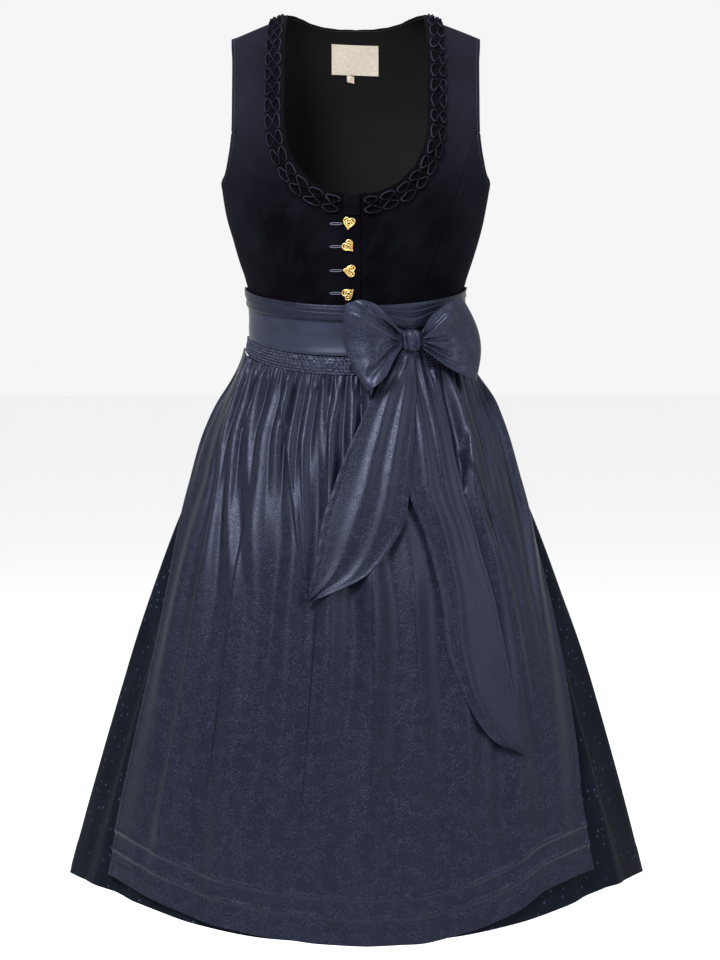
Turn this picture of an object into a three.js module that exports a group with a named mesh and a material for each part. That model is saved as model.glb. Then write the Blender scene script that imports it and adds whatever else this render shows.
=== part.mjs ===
// A dirndl, worn but empty: velvet bodice with a ruched neckline, gathered skirt,
// and a tied apron whose bow sits on the wearer's left.
// Millimetres, +Z up, front towards -Y. The origin is level with the neck points,
// midway between the shoulder seams, where the wearer's shoulders carry it.
import * as THREE from 'three';
import { mergeVertices } from 'three/addons/utils/BufferGeometryUtils.js';

// ---------------------------------------------------------------- driving dimensions
const SEAM_GAP = 0.3;
const WALL = {
  velvet: 1.8,
  lining: 1.0,
  skirt: 1.8,
  apron: 1.6,
  satin: 1.5,
  tie: 2.0,
  tail: 1.5,
  label: 1.0,
};
const WAIST_Z = -372;

// Half-width and depths of the general figure under the cloth, from chest to hem.
const FIGURE = rowsOf(['z', 'half', 'front', 'back'], [
  [-1080, 366, 247, 240],
  [-1023, 352.5, 239, 233],
  [-936, 330, 225, 222],
  [-838, 302, 207, 208],
  [-740, 272, 187, 193],
  [-643, 238, 165, 175],
  [-594, 219, 152, 164],
  [-546, 198, 138, 150],
  [-499, 176, 124, 133],
  [-450, 151, 109, 112],
  [-426, 141, 103, 99],
  [-397, 131, 96, 87],
  [-372, 126, 92, 79],
  [-330, 127, 92.5, 79],
  [-308, 131.7, 94, 80],
  [-284, 139.5, 96, 82],
  [-260, 146.5, 98, 85],
  [-236, 153, 100, 87],
  [-212, 157.5, 100, 89],
  [-197, 160, 99, 90],
  [-150, 176, 90, 90],
  [-110, 182, 78, 88],
]);
// Above the knee the surface rounds over in part of an ellipse to the shoulder seam.
const SHOULDER = {
  knee: -110,
  arc: 130,
  lean: Math.PI * 0.14,
  seamY: 6,
  neckX: 80,
  neckZ: 5,
  slope: 0.412,
  endX: 148,
  soften: 30,
};

const SHOULDER_TOP = SHOULDER.knee + SHOULDER.arc;

const ARMHOLE = rowsOf(['h', 'x'], [
  [-197, 160], [-178, 153], [-160, 148.5], [-140, 145.8], [-110, 145], [-70, 145], [-20, 147], [20, 148],
]);
const PRINCESS = rowsOf(['h', 'x'], [
  [-372, 76], [-331, 78.5], [-300, 87], [-270, 97], [-246, 105], [-212, 117], [-178, 127], [-140, 139.6],
]);
const BACK_SEAM = rowsOf(['h', 'x'], [
  [-372, 66], [-318, 70], [-264, 84], [-212, 104], [-168, 124], [-135, 140],
]);
const NECK_CURVE = rowsOf(['x', 'h'], [
  [0, -211], [24.7, -209], [48.8, -198.4], [67.5, -179], [78, -157.5], [82.5, -134],
]);
const STRAP = {
  innerX: 83,
  closeFrom: -75,
  start: -135,
  foot: [82.75, -130.5],
  heights: [-126, -105, -80, -55, -30, -5, 20],
};
const BACK_NECK = rowsOf(['x', 'h'], [
  [0, -41], [20, -39], [40, -32], [55, -22], [68, -5], [76, 10], [80, 20],
]);
// Running heights of the rows that every bodice panel shares, and of the armhole's rows.
const PANEL_ROWS = [-372, -340, -308, -280, -256, -234, -213];
const ARMPIT = -199;
const ARM_ROWS = [-184, -170, -155];
const LINING_FROM = -234;

const OVERLAP = { top: 5.6, under: -18, rampStart: 66, rampEnd: 38 };
// Bands that cross the closure ride over its extra layer.
const CLOSURE_RISE = { from: -88, full: -60, till: 22, gone: 50 };
const PRINCESS_TOP = -136;

const RUCHE = {
  base: 0.5,
  puff: 3.8,
  stepsPerUnit: 3,
  units: { right: 15, left: 16, back: 9 },
  start: { right: 14, left: 7 },
};
const TRIM_END = { left: -13.2, right: 4.6, top: -211.6, foot: -235 };
const RUCHE_ACROSS = rowsOf(['w', 'floor', 'puff'], [
  [0.8, 1.3, 0], [4.2, 1.4, 0], [8.8, 1.5, 1], [13.2, 1.5, 0.12], [17.8, 1.5, 1], [22.8, 1.1, 0],
]);

const BUTTON = { size: 15, thick: 1.6, bevel: 0.8, x: -7.7 };
const BUTTONS = rowsOf(['h', 'turn'], [[-244.6, -8], [-270.6, 42], [-298, -96], [-324, 128]]);

const BAND = {
  waistTop: { side: -325, dip: 20 },
  satinFoot: { side: -372, dip: 25 },
  smockFoot: { side: -387, dip: 33 },
  tieTop: { side: -308, dip: 30 },
  tieFoot: { side: -335, dip: 20.5 },
};
const SMOCK = { cells: 36, rows: 5, inside: 0.4, base: 1.3, raise: 1.9, ridge: 0.35 };
// Each band's outs are listed from its foot to its top.
const BAND_OUTS = {
  satin: [2.7, 2.9, 2.7],
  layered: [5.5, 5.6, 6.3, 6.7, 6.4],
  back: [3.6, 4.2, 3.7, 4.3, 3.8],
};
const BAND_TURN = { front: 91.9, backFrom: 92.2, backTo: 267.8, frontColumns: 23, backColumns: 17 };

const APRON_EDGE = rowsOf(['z', 'right', 'left'], [
  [-1050, -55.2, 52], [-993, -55.3, 52.3], [-918, -56, 52.7], [-844, -56.5, 55.9], [-744, -57.7, 59.4],
  [-654, -61, 62.9], [-550, -70, 69], [-480, -80, 78], [-390, -88, 88],
]);
const APRON_HEM = rowsOf(['phi', 'z'], [
  [-60, -991], [-55.3, -993], [-39.7, -1011], [-24, -1031], [-13, -1039], [0, -1044.5], [11, -1043.5],
  [20, -1034], [30, -1018], [39, -996], [52, -985], [60, -983],
]);
const SKIRT_HEM = rowsOf(['turn', 'z'], [
  [0, -1042], [15, -1040], [30, -1031], [45, -1018], [60, -1010], [75, -1012], [90, -1020], [120, -1030],
  [150, -1035], [180, -1036],
]);
const TUCKS = [27, 48];
const TUCK_STEP = 1.3;
const GATHERS = {
  apron: 22,
  skirtPer180: 24,
  columnsPerFold: 3,
  rise: 7,
  grow: { before: 30, after: 60 },
  sink: 90,
  fade: 230,
};
// Broad folds of the apron: place at waist and hem (degrees), height, half-width.
const APRON_FOLDS = rowsOf(['waist', 'hem', 'height', 'spread', 'from'], [
  [-76, -50, 9, 5.5, 60], [-60, -43, 8, 5, 90], [-42, -31, 9, 6, 110], [-24, -20, 8, 5.5, 60],
  [-10, -9, 7, 4.5, 70], [5, 4.5, 9, 5, 150], [20, 16, 8, 6, 120], [38, 28, 8, 6, 90],
  [56, 38, 9, 5.5, 80], [74, 47, 9, 5, 60],
]);
const SKIRT_FOLD = {
  depth: 13,
  perHalf: 9,
  from: 60,
  full: 320,
  fall: { from: 500, to: 680, share: 0.45 },
  hidden: { from: 44, to: 52 },
  pucker: { height: 1.5, fade: 40 },
  bend: { share: 0.22, degrees: 60 },
};
const APRON_FOLD = {
  stray: { share: 0.25, turns: 17 },
  widen: 1.35,
  grow: { before: 40, after: 140 },
  fall: { from: 480, to: 620, share: 0.5 },
};

const KNOT = {
  x: 64.4,
  z: -378.4,
  half: [10.2, 9, 9.6],
  out: 17,
  square: 0.7,
  pleat: 0.05,
  pleats: 7,
};
const LOOP_ROWS = ['t', 'topX', 'topZ', 'footX', 'footZ', 'bulge'];
const RIGHT_LOOP = rowsOf(LOOP_ROWS, [
  [0, 53.6, -371, 53.6, -385.5, 0], [0.25, 38, -351, 44, -400, -1], [0.5, 22, -336.5, 34, -419, -4],
  [0.75, 6, -332, 22, -430, -8], [1, -12, -336.7, 13, -435.8, -13],
]);
const LEFT_LOOP = rowsOf(LOOP_ROWS, [
  [0, 75.2, -371, 75.2, -385.5, 0], [0.25, 83, -356, 93, -399.5, 1], [0.5, 95, -343, 108, -409.5, 4],
  [0.75, 109, -334, 124, -418, 9], [1, 123.5, -327.5, 140, -425, 14],
]);
const LOOP = {
  out: 9,
  knotDepth: 5,
  puff: 24,
  endDepth: 13,
  turns: 15,
  across: 7,
  blunt: 0.85,
  fullest: 0.72,
  crease: 3,
  underKnot: 4,
  clearOfKnot: 0.4,
};
// The highest that the apron's folds stand: on the bands, and as a share over the fold rules.
const ENVELOPE = { onBands: 4.4, above: -20, margin: 1.12, fold: 10.5, from: 20, full: 200, turn: 0.4 };
const TAIL_ROWS = ['z', 'left', 'right'];
const SHORT_TAIL = rowsOf(TAIL_ROWS, [
  [-388.5, 54.5, 67], [-418, 34, 70], [-446, 17, 69], [-480, 1, 67], [-508, -12, 64.5], [-553, -28, 60.5],
  [-581, -38, 55], [-605, -41.5, 43], [-638, -46, 16], [-660, -51.5, -28], [-669, -55.5, -51],
]);
const LONG_TAIL = rowsOf(TAIL_ROWS, [
  [-388.5, 60, 78], [-440, 56, 94], [-488, 56, 108.5], [-536, 57, 119.5], [-555, 61.5, 124],
  [-590, 76, 135.5], [-625, 86, 144.5], [-671, 96.5, 158], [-717, 101.5, 168], [-757, 113.5, 175.5],
  [-796, 132.5, 184], [-826, 156, 191], [-843, 189, 194.5],
]);
const TAIL = { underOut: 4.2, overOut: 6.6, columns: 4, underKnot: 10, clearOfKnot: 55 };

const LABEL = { left: -30, right: 28, top: -20, foot: -55, tiltMm: 2, slack: 0.6 };
const SIZE_TAB = { left: -11, right: -2, top: -57, foot: -65, slack: 0.9 };

const COLOUR = {
  velvet: [0x101218, 0.95, 0],
  lining: [0x17171a, 0.7, 0],
  apron: [0x2a2d3f, 0.42, 0],
  satin: [0x3c3f4d, 0.35, 0],
  skirt: [0x18202e, 0.8, 0],
  label: [0xe1d7c8, 0.6, 0],
  gold: [0xd9b45a, 0.3, 1],
};

// ---------------------------------------------------------------- small tools
const DEG = Math.PI / 180;
// Points nearer than this are one point.
const MERGE = 1e-4;
const lerp = (a, b, t) => a + (b - a) * t;
const clamp01 = (t) => Math.min(1, Math.max(0, t));
const ramp = (from, to, at) => {
  const t = clamp01((at - from) / (to - from));
  return t * t * (3 - 2 * t);
};

/** Turns short rows of numbers into objects with named columns. */
function rowsOf(names, rows) {
  return rows.map((row) => Object.fromEntries(names.map((name, i) => [name, row[i]])));
}

/** Smooth monotone reading of one column of a table whose key column only rises. */
function read(table, key, column, at) {
  const last = table.length - 1;
  const rising = table[last][key] > table[0][key];
  const rows = rising ? table : [...table].reverse();
  if (at <= rows[0][key]) return rows[0][column];
  if (at >= rows[last][key]) return rows[last][column];
  let i = 0;
  while (rows[i + 1][key] < at) i += 1;
  const slope = (k) => (rows[k + 1][column] - rows[k][column]) / (rows[k + 1][key] - rows[k][key]);
  const tangent = (k) => {
    if (k === 0) return slope(0);
    if (k === last) return slope(last - 1);
    const [before, after] = [slope(k - 1), slope(k)];
    return before * after <= 0 ? 0 : (2 * before * after) / (before + after);
  };
  const width = rows[i + 1][key] - rows[i][key];
  const t = (at - rows[i][key]) / width;
  const [t2, t3] = [t * t, t * t * t];
  return (2 * t3 - 3 * t2 + 1) * rows[i][column] + (t3 - 2 * t2 + t) * width * tangent(i)
    + (3 * t2 - 2 * t3) * rows[i + 1][column] + (t3 - t2) * width * tangent(i + 1);
}

/** Height of the shoulder line, which slopes down from the neck point and is rounded at the centre. */
function crownAt(x) {
  const { neckX, neckZ, slope, soften } = SHOULDER;
  return neckZ - (Math.hypot(x, soften) - Math.hypot(neckX, soften)) * slope;
}

/** A point of the figure: phi is 0 at the front centre and rises towards +X and the back. */
function figure(phi, h) {
  const level = Math.min(h, SHOULDER.knee);
  const half = read(FIGURE, 'z', 'half', level);
  const depth = read(FIGURE, 'z', Math.cos(phi) >= 0 ? 'front' : 'back', level);
  const x = half * Math.sin(phi);
  const y = -depth * Math.cos(phi);
  if (h <= SHOULDER.knee) return new THREE.Vector3(x, y, h);
  const { knee, arc, lean, seamY } = SHOULDER;
  const turn = lerp(lean, Math.PI / 2, (h - knee) / arc);
  const rise = (Math.sin(turn) - Math.sin(lean)) / (1 - Math.sin(lean));
  const z = knee + (crownAt(x) - knee) * rise;
  return new THREE.Vector3(x, seamY + ((y - seamY) * Math.cos(turn)) / Math.cos(lean), z);
}

const SMALL = { turn: 1e-3, rise: 0.1 };
const slopeOf = (ahead, behind, step) => ahead.sub(behind).divideScalar(2 * step);
const alongPhi = (phi, h) => slopeOf(figure(phi + SMALL.turn, h), figure(phi - SMALL.turn, h), SMALL.turn);
const alongH = (phi, h) => slopeOf(figure(phi, h + SMALL.rise), figure(phi, h - SMALL.rise), SMALL.rise);
const normal = (phi, h) => alongPhi(phi, h).cross(alongH(phi, h)).normalize();

/** The figure's point moved out along its normal. */
const lifted = (phi, h, out) => figure(phi, h).addScaledVector(normal(phi, h), out);

/** Angle of a front (or back) point from its distance x off the centre line. */
function angleOf(x, h, back = false) {
  const half = read(FIGURE, 'z', 'half', Math.min(h, SHOULDER.knee));
  const side = Math.asin(Math.max(-1, Math.min(1, x / half)));
  return back ? Math.PI - side : side;
}

/** Triangles between two polylines that share their ends' sides. */
function zip(a, b, faces) {
  let [i, j] = [0, 0];
  const [lastA, lastB] = [a.length - 1, b.length - 1];
  while (i < lastA || j < lastB) {
    const stepA = j === lastB || (i < lastA && (i + 1) / lastA <= (j + 1) / lastB);
    if (stepA) {
      faces.push([a[i + 1], a[i], b[j]]);
      i += 1;
    } else {
      faces.push([b[j], b[j + 1], a[i]]);
      j += 1;
    }
  }
}

const column = (grid, c) => grid.map((row) => row[c]);
const reversed = (list) => [...list].reverse();

function gridFaces(grid, flip, faces) {
  for (let r = 0; r + 1 < grid.length; r += 1) {
    for (let c = 0; c + 1 < grid[r].length; c += 1) {
      const [p, q, s, t] = [grid[r][c], grid[r][c + 1], grid[r + 1][c + 1], grid[r + 1][c]];
      faces.push(flip ? [p, s, q] : [p, q, s], flip ? [p, t, s] : [p, s, t]);
    }
  }
}

function signedVolume(faces) {
  return faces.reduce((sum, [a, b, c]) => sum + a.dot(b.clone().cross(c)), 0) / 6;
}

function solidMesh(name, faces, finish) {
  const outward = signedVolume(faces) > 0 ? faces : faces.map(([a, b, c]) => [a, c, b]);
  const raw = new THREE.BufferGeometry().setFromPoints(outward.flat());
  const [color, roughness, metalness] = COLOUR[finish];
  const mesh = new THREE.Mesh(
    mergeVertices(raw, MERGE),
    new THREE.MeshStandardMaterial({ color, roughness, metalness }),
  );
  mesh.name = name;
  return mesh;
}

/** A closed wall between an outer and an inner grid of points; the inner one may be coarser. */
function wallMesh(name, outer, inner, finish) {
  const faces = [];
  gridFaces(outer, false, faces);
  gridFaces(inner, true, faces);
  const rim = (grid) => [
    grid[0],
    column(grid, grid[0].length - 1),
    reversed(grid[grid.length - 1]),
    reversed(column(grid, 0)),
  ];
  const inside = rim(inner);
  rim(outer).forEach((edge, k) => zip(edge, inside[k], faces));
  return solidMesh(name, faces, finish);
}

const grid = (rows, columns, point) => Array.from(
  { length: rows },
  (_, r) => Array.from({ length: columns }, (_unused, c) => point(r, c)),
);

/** A wall on the figure from a rule that gives each grid place its [phi, h, out]. */
function figureWall(name, rows, columns, place, thickness, finish) {
  const at = (inwards) => grid(rows, columns, (r, c) => {
    const [phi, h, out] = place(r / (rows - 1), c / (columns - 1), r, c);
    return lifted(phi, h, out - inwards);
  });
  return wallMesh(name, at(0), at(thickness), finish);
}

// ---------------------------------------------------------------- bodice
/** How far the overlapping front rides over the one below it. */
const overlapRise = (x) => (WALL.velvet + SEAM_GAP) * ramp(-OVERLAP.rampStart, -OVERLAP.rampEnd, x);

/** Inner edge of the strap, which closes in a little towards the neck point. */
const strapX = (h) => lerp(STRAP.innerX, SHOULDER.neckX, ramp(STRAP.closeFrom, SHOULDER_TOP, h));

/** Edges of a front panel as rows of (x, h) pairs, from waist to shoulder seam. */
function frontEdges(centreX) {
  const rows = [];
  PANEL_ROWS.forEach((h) => rows.push({ inner: [centreX, h], outer: [read(PRINCESS, 'h', 'x', h), h] }));
  const princess = [ARMPIT, ...ARM_ROWS, PRINCESS_TOP];
  princess.forEach((h, i) => {
    const edge = NECK_CURVE[i + 1];
    rows.push({ inner: [edge.x, edge.h], outer: [read(PRINCESS, 'h', 'x', h), h] });
  });
  rows.push({ inner: STRAP.foot, outer: [read(ARMHOLE, 'h', 'x', STRAP.start), STRAP.start] });
  STRAP.heights.forEach((h) => {
    rows.push({ inner: [strapX(h), h], outer: [read(ARMHOLE, 'h', 'x', h), h] });
  });
  return rows;
}

const HALF_GAP = SEAM_GAP / 2 + 0.05;

function frontPanel(name, side, centreX, rise) {
  const rows = frontEdges(centreX);
  const columns = 6;
  return figureWall(name, rows.length, columns, (v, u, r) => {
    const { inner, outer } = rows[r];
    const seam = outer[1] <= PRINCESS_TOP ? HALF_GAP : 0;
    const top = r === rows.length - 1 ? HALF_GAP : 0;
    const a = [angleOf(inner[0], inner[1]), inner[1]];
    const b = [angleOf(outer[0] - seam, outer[1]), outer[1]];
    const [phi, h] = side > 0
      ? [lerp(a[0], b[0], u), lerp(a[1], b[1], u)]
      : [-lerp(b[0], a[0], u), lerp(b[1], a[1], u)];
    const x = read(FIGURE, 'z', 'half', Math.min(h, SHOULDER.knee)) * Math.sin(phi);
    return [phi, h - top, rise(x)];
  }, WALL.velvet, 'velvet');
}

/** Side panels run from a shaping seam to the side seam and up to the armhole. */
function sidePanel(name, side, seam, back) {
  const rows = [...PANEL_ROWS, ARMPIT].map((h) => ({ h, edge: Math.PI / 2 }));
  [...ARM_ROWS, PRINCESS_TOP].forEach((h) => {
    rows.push({ h, edge: angleOf(read(ARMHOLE, 'h', 'x', h), h) });
  });
  const gapAngle = (h) => HALF_GAP / read(FIGURE, 'z', 'half', h);
  const columns = 4;
  return figureWall(name, rows.length, columns, (v, u, r) => {
    const { h, edge } = rows[r];
    const inner = angleOf(read(seam, 'h', 'x', h) + HALF_GAP, h);
    const outer = edge === Math.PI / 2 ? edge - gapAngle(h) : edge;
    const local = lerp(inner, outer, u);
    const turned = back ? Math.PI - local : local;
    return [side * turned, h, 0];
  }, WALL.velvet, 'velvet');
}

function backTop(x) {
  return Math.abs(x) >= SHOULDER.neckX ? SHOULDER_TOP : read(BACK_NECK, 'x', 'h', Math.abs(x));
}

const backEdge = (h) => (h <= PRINCESS_TOP ? read(BACK_SEAM, 'h', 'x', h) : read(ARMHOLE, 'h', 'x', h));
const BACK_COLUMNS = [-1, -0.77, -0.5405, -0.36, -0.18, 0, 0.18, 0.36, 0.5405, 0.77, 1];
const BACK_ROWS = [...PANEL_ROWS, ARMPIT, ...ARM_ROWS, PRINCESS_TOP, STRAP.start, ...STRAP.heights];
const LINING_ROWS = BACK_ROWS.slice(BACK_ROWS.indexOf(LINING_FROM));

/** Height of a back point: rows bend down towards the neckline as they near it. */
function backHeight(rowH, share) {
  const topX = share * SHOULDER.endX;
  const lift = clamp01((rowH - ARMPIT) / (SHOULDER_TOP - ARMPIT));
  return rowH - (SHOULDER_TOP - backTop(topX)) * lift;
}

/** A layer of the centre back, from one of its rows up to the shoulders and the neckline. */
function backLayer(name, rows, out, thickness, finish) {
  return figureWall(name, rows.length, BACK_COLUMNS.length, (v, u, r, c) => {
    const share = -BACK_COLUMNS[c];
    const rowH = rows[r];
    const seam = rowH <= PRINCESS_TOP ? HALF_GAP : 0;
    const top = rowH === SHOULDER_TOP ? HALF_GAP : 0;
    return [angleOf(share * (backEdge(rowH) - seam), rowH, true), backHeight(rowH, share) - top, out];
  }, thickness, finish);
}

const LINING_OUT = -(WALL.velvet + SEAM_GAP);

const backPanels = () => [
  backLayer('bodice_back', BACK_ROWS, 0, WALL.velvet, 'velvet'),
  backLayer('lining_back', LINING_ROWS, LINING_OUT, WALL.lining, 'lining'),
];

/** A flat tag on the inside of the back lining, bent only where the lining's faces bend. */
function innerTag(name, box) {
  const out = LINING_OUT - WALL.lining - SEAM_GAP - box.slack;
  const { knee, arc, lean } = SHOULDER;
  const heightOf = (x, z) => {
    const rise = (z - knee) / (crownAt(x) - knee);
    const turn = Math.asin(lerp(Math.sin(lean), 1, rise));
    return knee + (arc * (turn - lean)) / (Math.PI / 2 - lean);
  };
  const bends = BACK_COLUMNS.map((share) => share * read(ARMHOLE, 'h', 'x', knee));
  const places = [box.right, ...reversed(bends.filter((x) => x > box.left && x < box.right)), box.left];
  return figureWall(name, 2, places.length, (v, u, r, c) => {
    const tilt = (LABEL.tiltMm * places[c]) / (LABEL.right - LABEL.left);
    const z = lerp(box.foot, box.top, v) - tilt;
    return [angleOf(places[c], knee, true), heightOf(places[c], z), out];
  }, WALL.label, 'label');
}

// ---------------------------------------------------------------- ruched trim
/** Neckline path in (phi, h) with running length, resampled so that the puffs are even. */
function edgePath(points, units) {
  const fine = [];
  const steps = 24;
  for (let i = 0; i + 1 < points.length; i += 1) {
    for (let k = 0; k < steps; k += 1) {
      fine.push(points[i].map((p, n) => lerp(p, points[i + 1][n], k / steps)));
    }
  }
  fine.push(points[points.length - 1]);
  const lengths = [0];
  for (let i = 1; i < fine.length; i += 1) {
    lengths.push(lengths[i - 1] + figure(...fine[i]).distanceTo(figure(...fine[i - 1])));
  }
  const total = lengths[lengths.length - 1];
  const count = units * RUCHE.stepsPerUnit;
  return Array.from({ length: count + 1 }, (_, k) => {
    const target = (total * k) / count;
    let i = 1;
    while (i < lengths.length - 1 && lengths[i] < target) i += 1;
    const t = (target - lengths[i - 1]) / (lengths[i] - lengths[i - 1] || 1);
    return fine[i - 1].map((p, n) => lerp(p, fine[i][n], t));
  });
}

/** The (phi, h) place that lies w millimetres to the right of the path's direction. */
function besidePath(path, k, w) {
  const from = path[Math.max(0, k - 2)];
  const to = path[Math.min(path.length - 1, k + 2)];
  const [phi, h] = path[k];
  const tangent = figure(...to).sub(figure(...from));
  const aside = tangent.cross(normal(phi, h)).normalize().multiplyScalar(w);
  const [pu, pv] = [alongPhi(phi, h), alongH(phi, h)];
  const [e, f, g] = [pu.dot(pu), pu.dot(pv), pv.dot(pv)];
  const [a, b] = [pu.dot(aside), pv.dot(aside)];
  const det = e * g - f * f;
  return [phi + (a * g - b * f) / det, h + (b * e - a * f) / det];
}

/** A ruche: two rows of puffs that are pinched between units and along the middle. */
function ruche(name, points, units, rise) {
  const path = edgePath(points, units);
  const across = RUCHE_ACROSS;
  const point = (k, w, height) => {
    const [phi, h] = besidePath(path, k, w);
    const x = read(FIGURE, 'z', 'half', Math.min(h, SHOULDER.knee)) * Math.sin(phi);
    return lifted(phi, h, RUCHE.base + rise(x) + height);
  };
  const outer = grid(path.length, across.length, (k, c) => {
    const phase = (k / RUCHE.stepsPerUnit) * 2 * Math.PI;
    const open = 0.5 - 0.5 * Math.cos(phase);
    return point(k, across[c].w, across[c].floor + across[c].puff * RUCHE.puff * open);
  });
  const [near, far] = [across[0].w, across[across.length - 1].w];
  const inner = grid(path.length, 3, (k, c) => point(k, lerp(near, far, c / 2), 0));
  return wallMesh(name, outer, inner, 'velvet');
}

const shortOfSeam = (h) => Math.min(h, SHOULDER_TOP - HALF_GAP);

function frontNeckPoints(side, startX) {
  const strap = STRAP.heights.slice(1).map((h) => ({ x: strapX(h), h }));
  const start = { x: startX, h: NECK_CURVE[0].h };
  const edge = [start, ...NECK_CURVE.slice(1), ...strap];
  return edge.map(({ x, h }) => [side * angleOf(x, h), shortOfSeam(h)]);
}

function trims() {
  const acrossBack = [...reversed(BACK_NECK), ...BACK_NECK.slice(1).map(({ x, h }) => ({ x: -x, h }))];
  const back = acrossBack.map(({ x, h }) => [angleOf(x, h, true), shortOfSeam(h)]);
  const right = reversed(frontNeckPoints(-1, RUCHE.start.right));
  return [
    ruche('trim_front_right', right, RUCHE.units.right, overlapRise),
    ruche('trim_front_left', frontNeckPoints(1, RUCHE.start.left), RUCHE.units.left, () => 0),
    ruche('trim_back', back, RUCHE.units.back, () => 0),
    trimEnd(),
  ];
}

/** The plain folded end of the ruche beside the closure. */
function trimEnd() {
  const { left, right, top, foot } = TRIM_END;
  const rise = WALL.velvet + SEAM_GAP + RUCHE.base + WALL.tie;
  return figureWall('trim_end', 4, 4, (v, u) => {
    const h = lerp(foot, top, v);
    return [angleOf(lerp(left, right, u), h), h, rise];
  }, WALL.tie, 'velvet');
}

// ---------------------------------------------------------------- buttons
function heartShape(size) {
  const heart = new THREE.Shape();
  const s = size / 2;
  heart.moveTo(0, -s);
  heart.bezierCurveTo(0.35 * s, -0.72 * s, 1.02 * s, -0.18 * s, s, 0.38 * s);
  heart.bezierCurveTo(0.98 * s, 1.0 * s, 0.22 * s, 1.12 * s, 0, 0.52 * s);
  heart.bezierCurveTo(-0.22 * s, 1.12 * s, -0.98 * s, 1.0 * s, -s, 0.38 * s);
  heart.bezierCurveTo(-1.02 * s, -0.18 * s, -0.35 * s, -0.72 * s, 0, -s);
  return heart;
}

function button(index, { h, turn }) {
  const geometry = new THREE.ExtrudeGeometry(heartShape(BUTTON.size - 2 * BUTTON.bevel), {
    depth: BUTTON.thick,
    bevelThickness: BUTTON.bevel,
    bevelSize: BUTTON.bevel,
    bevelSegments: 1,
    curveSegments: 4,
  });
  geometry.deleteAttribute('normal');
  geometry.deleteAttribute('uv');
  const [color, roughness, metalness] = COLOUR.gold;
  const mesh = new THREE.Mesh(
    mergeVertices(geometry, MERGE),
    new THREE.MeshStandardMaterial({ color, roughness, metalness }),
  );
  mesh.name = `button_${index + 1}`;
  const phi = angleOf(BUTTON.x, h);
  const away = normal(phi, h);
  const up = new THREE.Vector3(0, 0, 1).addScaledVector(away, -away.z).normalize();
  const across = up.clone().cross(away);
  mesh.position.copy(lifted(phi, h, overlapRise(BUTTON.x) + BUTTON.bevel + SEAM_GAP + 0.1));
  mesh.setRotationFromMatrix(new THREE.Matrix4().makeBasis(across, up, away));
  mesh.rotateZ(turn * DEG);
  return mesh;
}

// ---------------------------------------------------------------- skirt
const wobble = (n) => Math.sin(n * 2.399) * 0.5 + Math.sin(n * 5.13 + 1.7) * 0.5;
function gatherRise(drop) {
  const { rise, grow, sink, fade } = GATHERS;
  return rise * ramp(-grow.before, grow.after, drop) * (1 - ramp(sink, fade, drop));
}

/** An angle in radians as degrees from 0 to 360. */
const degreesOf = (phi) => (((phi / DEG) % 360) + 360) % 360;
const hemOf = (phi) => read(SKIRT_HEM, 'turn', 'z', 180 - Math.abs(180 - degreesOf(phi)));
const SKIRT_TOP = WAIST_Z - SEAM_GAP;
const SKIRT_OUT = -1.0;
const SIDE_GAP = 0.06;
const FALL = [0, 0.05, 0.11, 0.2, 0.34, 0.52, 0.75, 1];

/** Depth of the skirt's folds below the figure, plain where the apron hides it. */
function skirtFold(phi, drop) {
  const { depth, perHalf, from, full, fall, hidden, pucker, bend } = SKIRT_FOLD;
  const degrees = degreesOf(phi);
  const shown = ramp(hidden.from, hidden.to, Math.min(degrees, 360 - degrees));
  const hollow = (turns) => 0.5 - 0.5 * Math.cos(2 * Math.PI * turns);
  const tight = gatherRise(drop) + pucker.height * (1 - ramp(0, pucker.fade, drop));
  const fine = hollow((degrees * GATHERS.skirtPer180) / 180) * tight;
  const sector = degrees / bend.degrees;
  const stray = bend.share * wobble(Math.floor(sector)) * Math.sin(sector * 2 * Math.PI);
  const broad = hollow((degrees * perHalf) / 180 + stray);
  const reach = depth * ramp(from, full, drop) * (1 - fall.share * ramp(fall.from, fall.to, drop));
  return shown * (fine + broad * reach);
}

function skirtWall(name, angles) {
  const point = (inwards) => grid(FALL.length, angles.length, (r, c) => {
    const phi = angles[c];
    const h = lerp(hemOf(phi), SKIRT_TOP, 1 - FALL[FALL.length - 1 - r]);
    return lifted(phi, h, SKIRT_OUT - skirtFold(phi, SKIRT_TOP - h) - inwards);
  });
  return wallMesh(name, point(0), point(WALL.skirt), 'skirt');
}

const SIDE = 90;
const HALF_TURN = 180;
// The front width is smooth where the apron covers it: directions in degrees of its columns.
const UNDER_APRON = { first: -36, last: 36, steps: 6, beside: 45 };

function skirt() {
  const seam = SIDE_GAP * DEG;
  const pitch = HALF_TURN / GATHERS.skirtPer180 / GATHERS.columnsPerFold;
  const spread = (from, to) => {
    const count = Math.round((to - from) / pitch);
    return Array.from({ length: count + 1 }, (_, k) => (from + (k * (to - from)) / count) * DEG);
  };
  const { first, last, steps, beside } = UNDER_APRON;
  const hidden = Array.from({ length: steps + 1 }, (_, k) => lerp(first, last, k / steps) * DEG);
  const front = [...spread(-SIDE, -beside), ...hidden, ...spread(beside, SIDE)];
  front[0] += seam;
  front[front.length - 1] -= seam;
  const back = spread(SIDE, SIDE + HALF_TURN);
  back[0] += seam;
  back[back.length - 1] -= seam;
  return [skirtWall('skirt_front', front), skirtWall('skirt_back', back)];
}

// ---------------------------------------------------------------- apron
const dipped = ({ side, dip }, phi) => side - dip * Math.max(0, Math.cos(phi));
const APRON_OUT = WALL.apron + 0.4;
const APRON_EASE = 20;
const APRON_HALF_ANGLE = 88;

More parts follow.
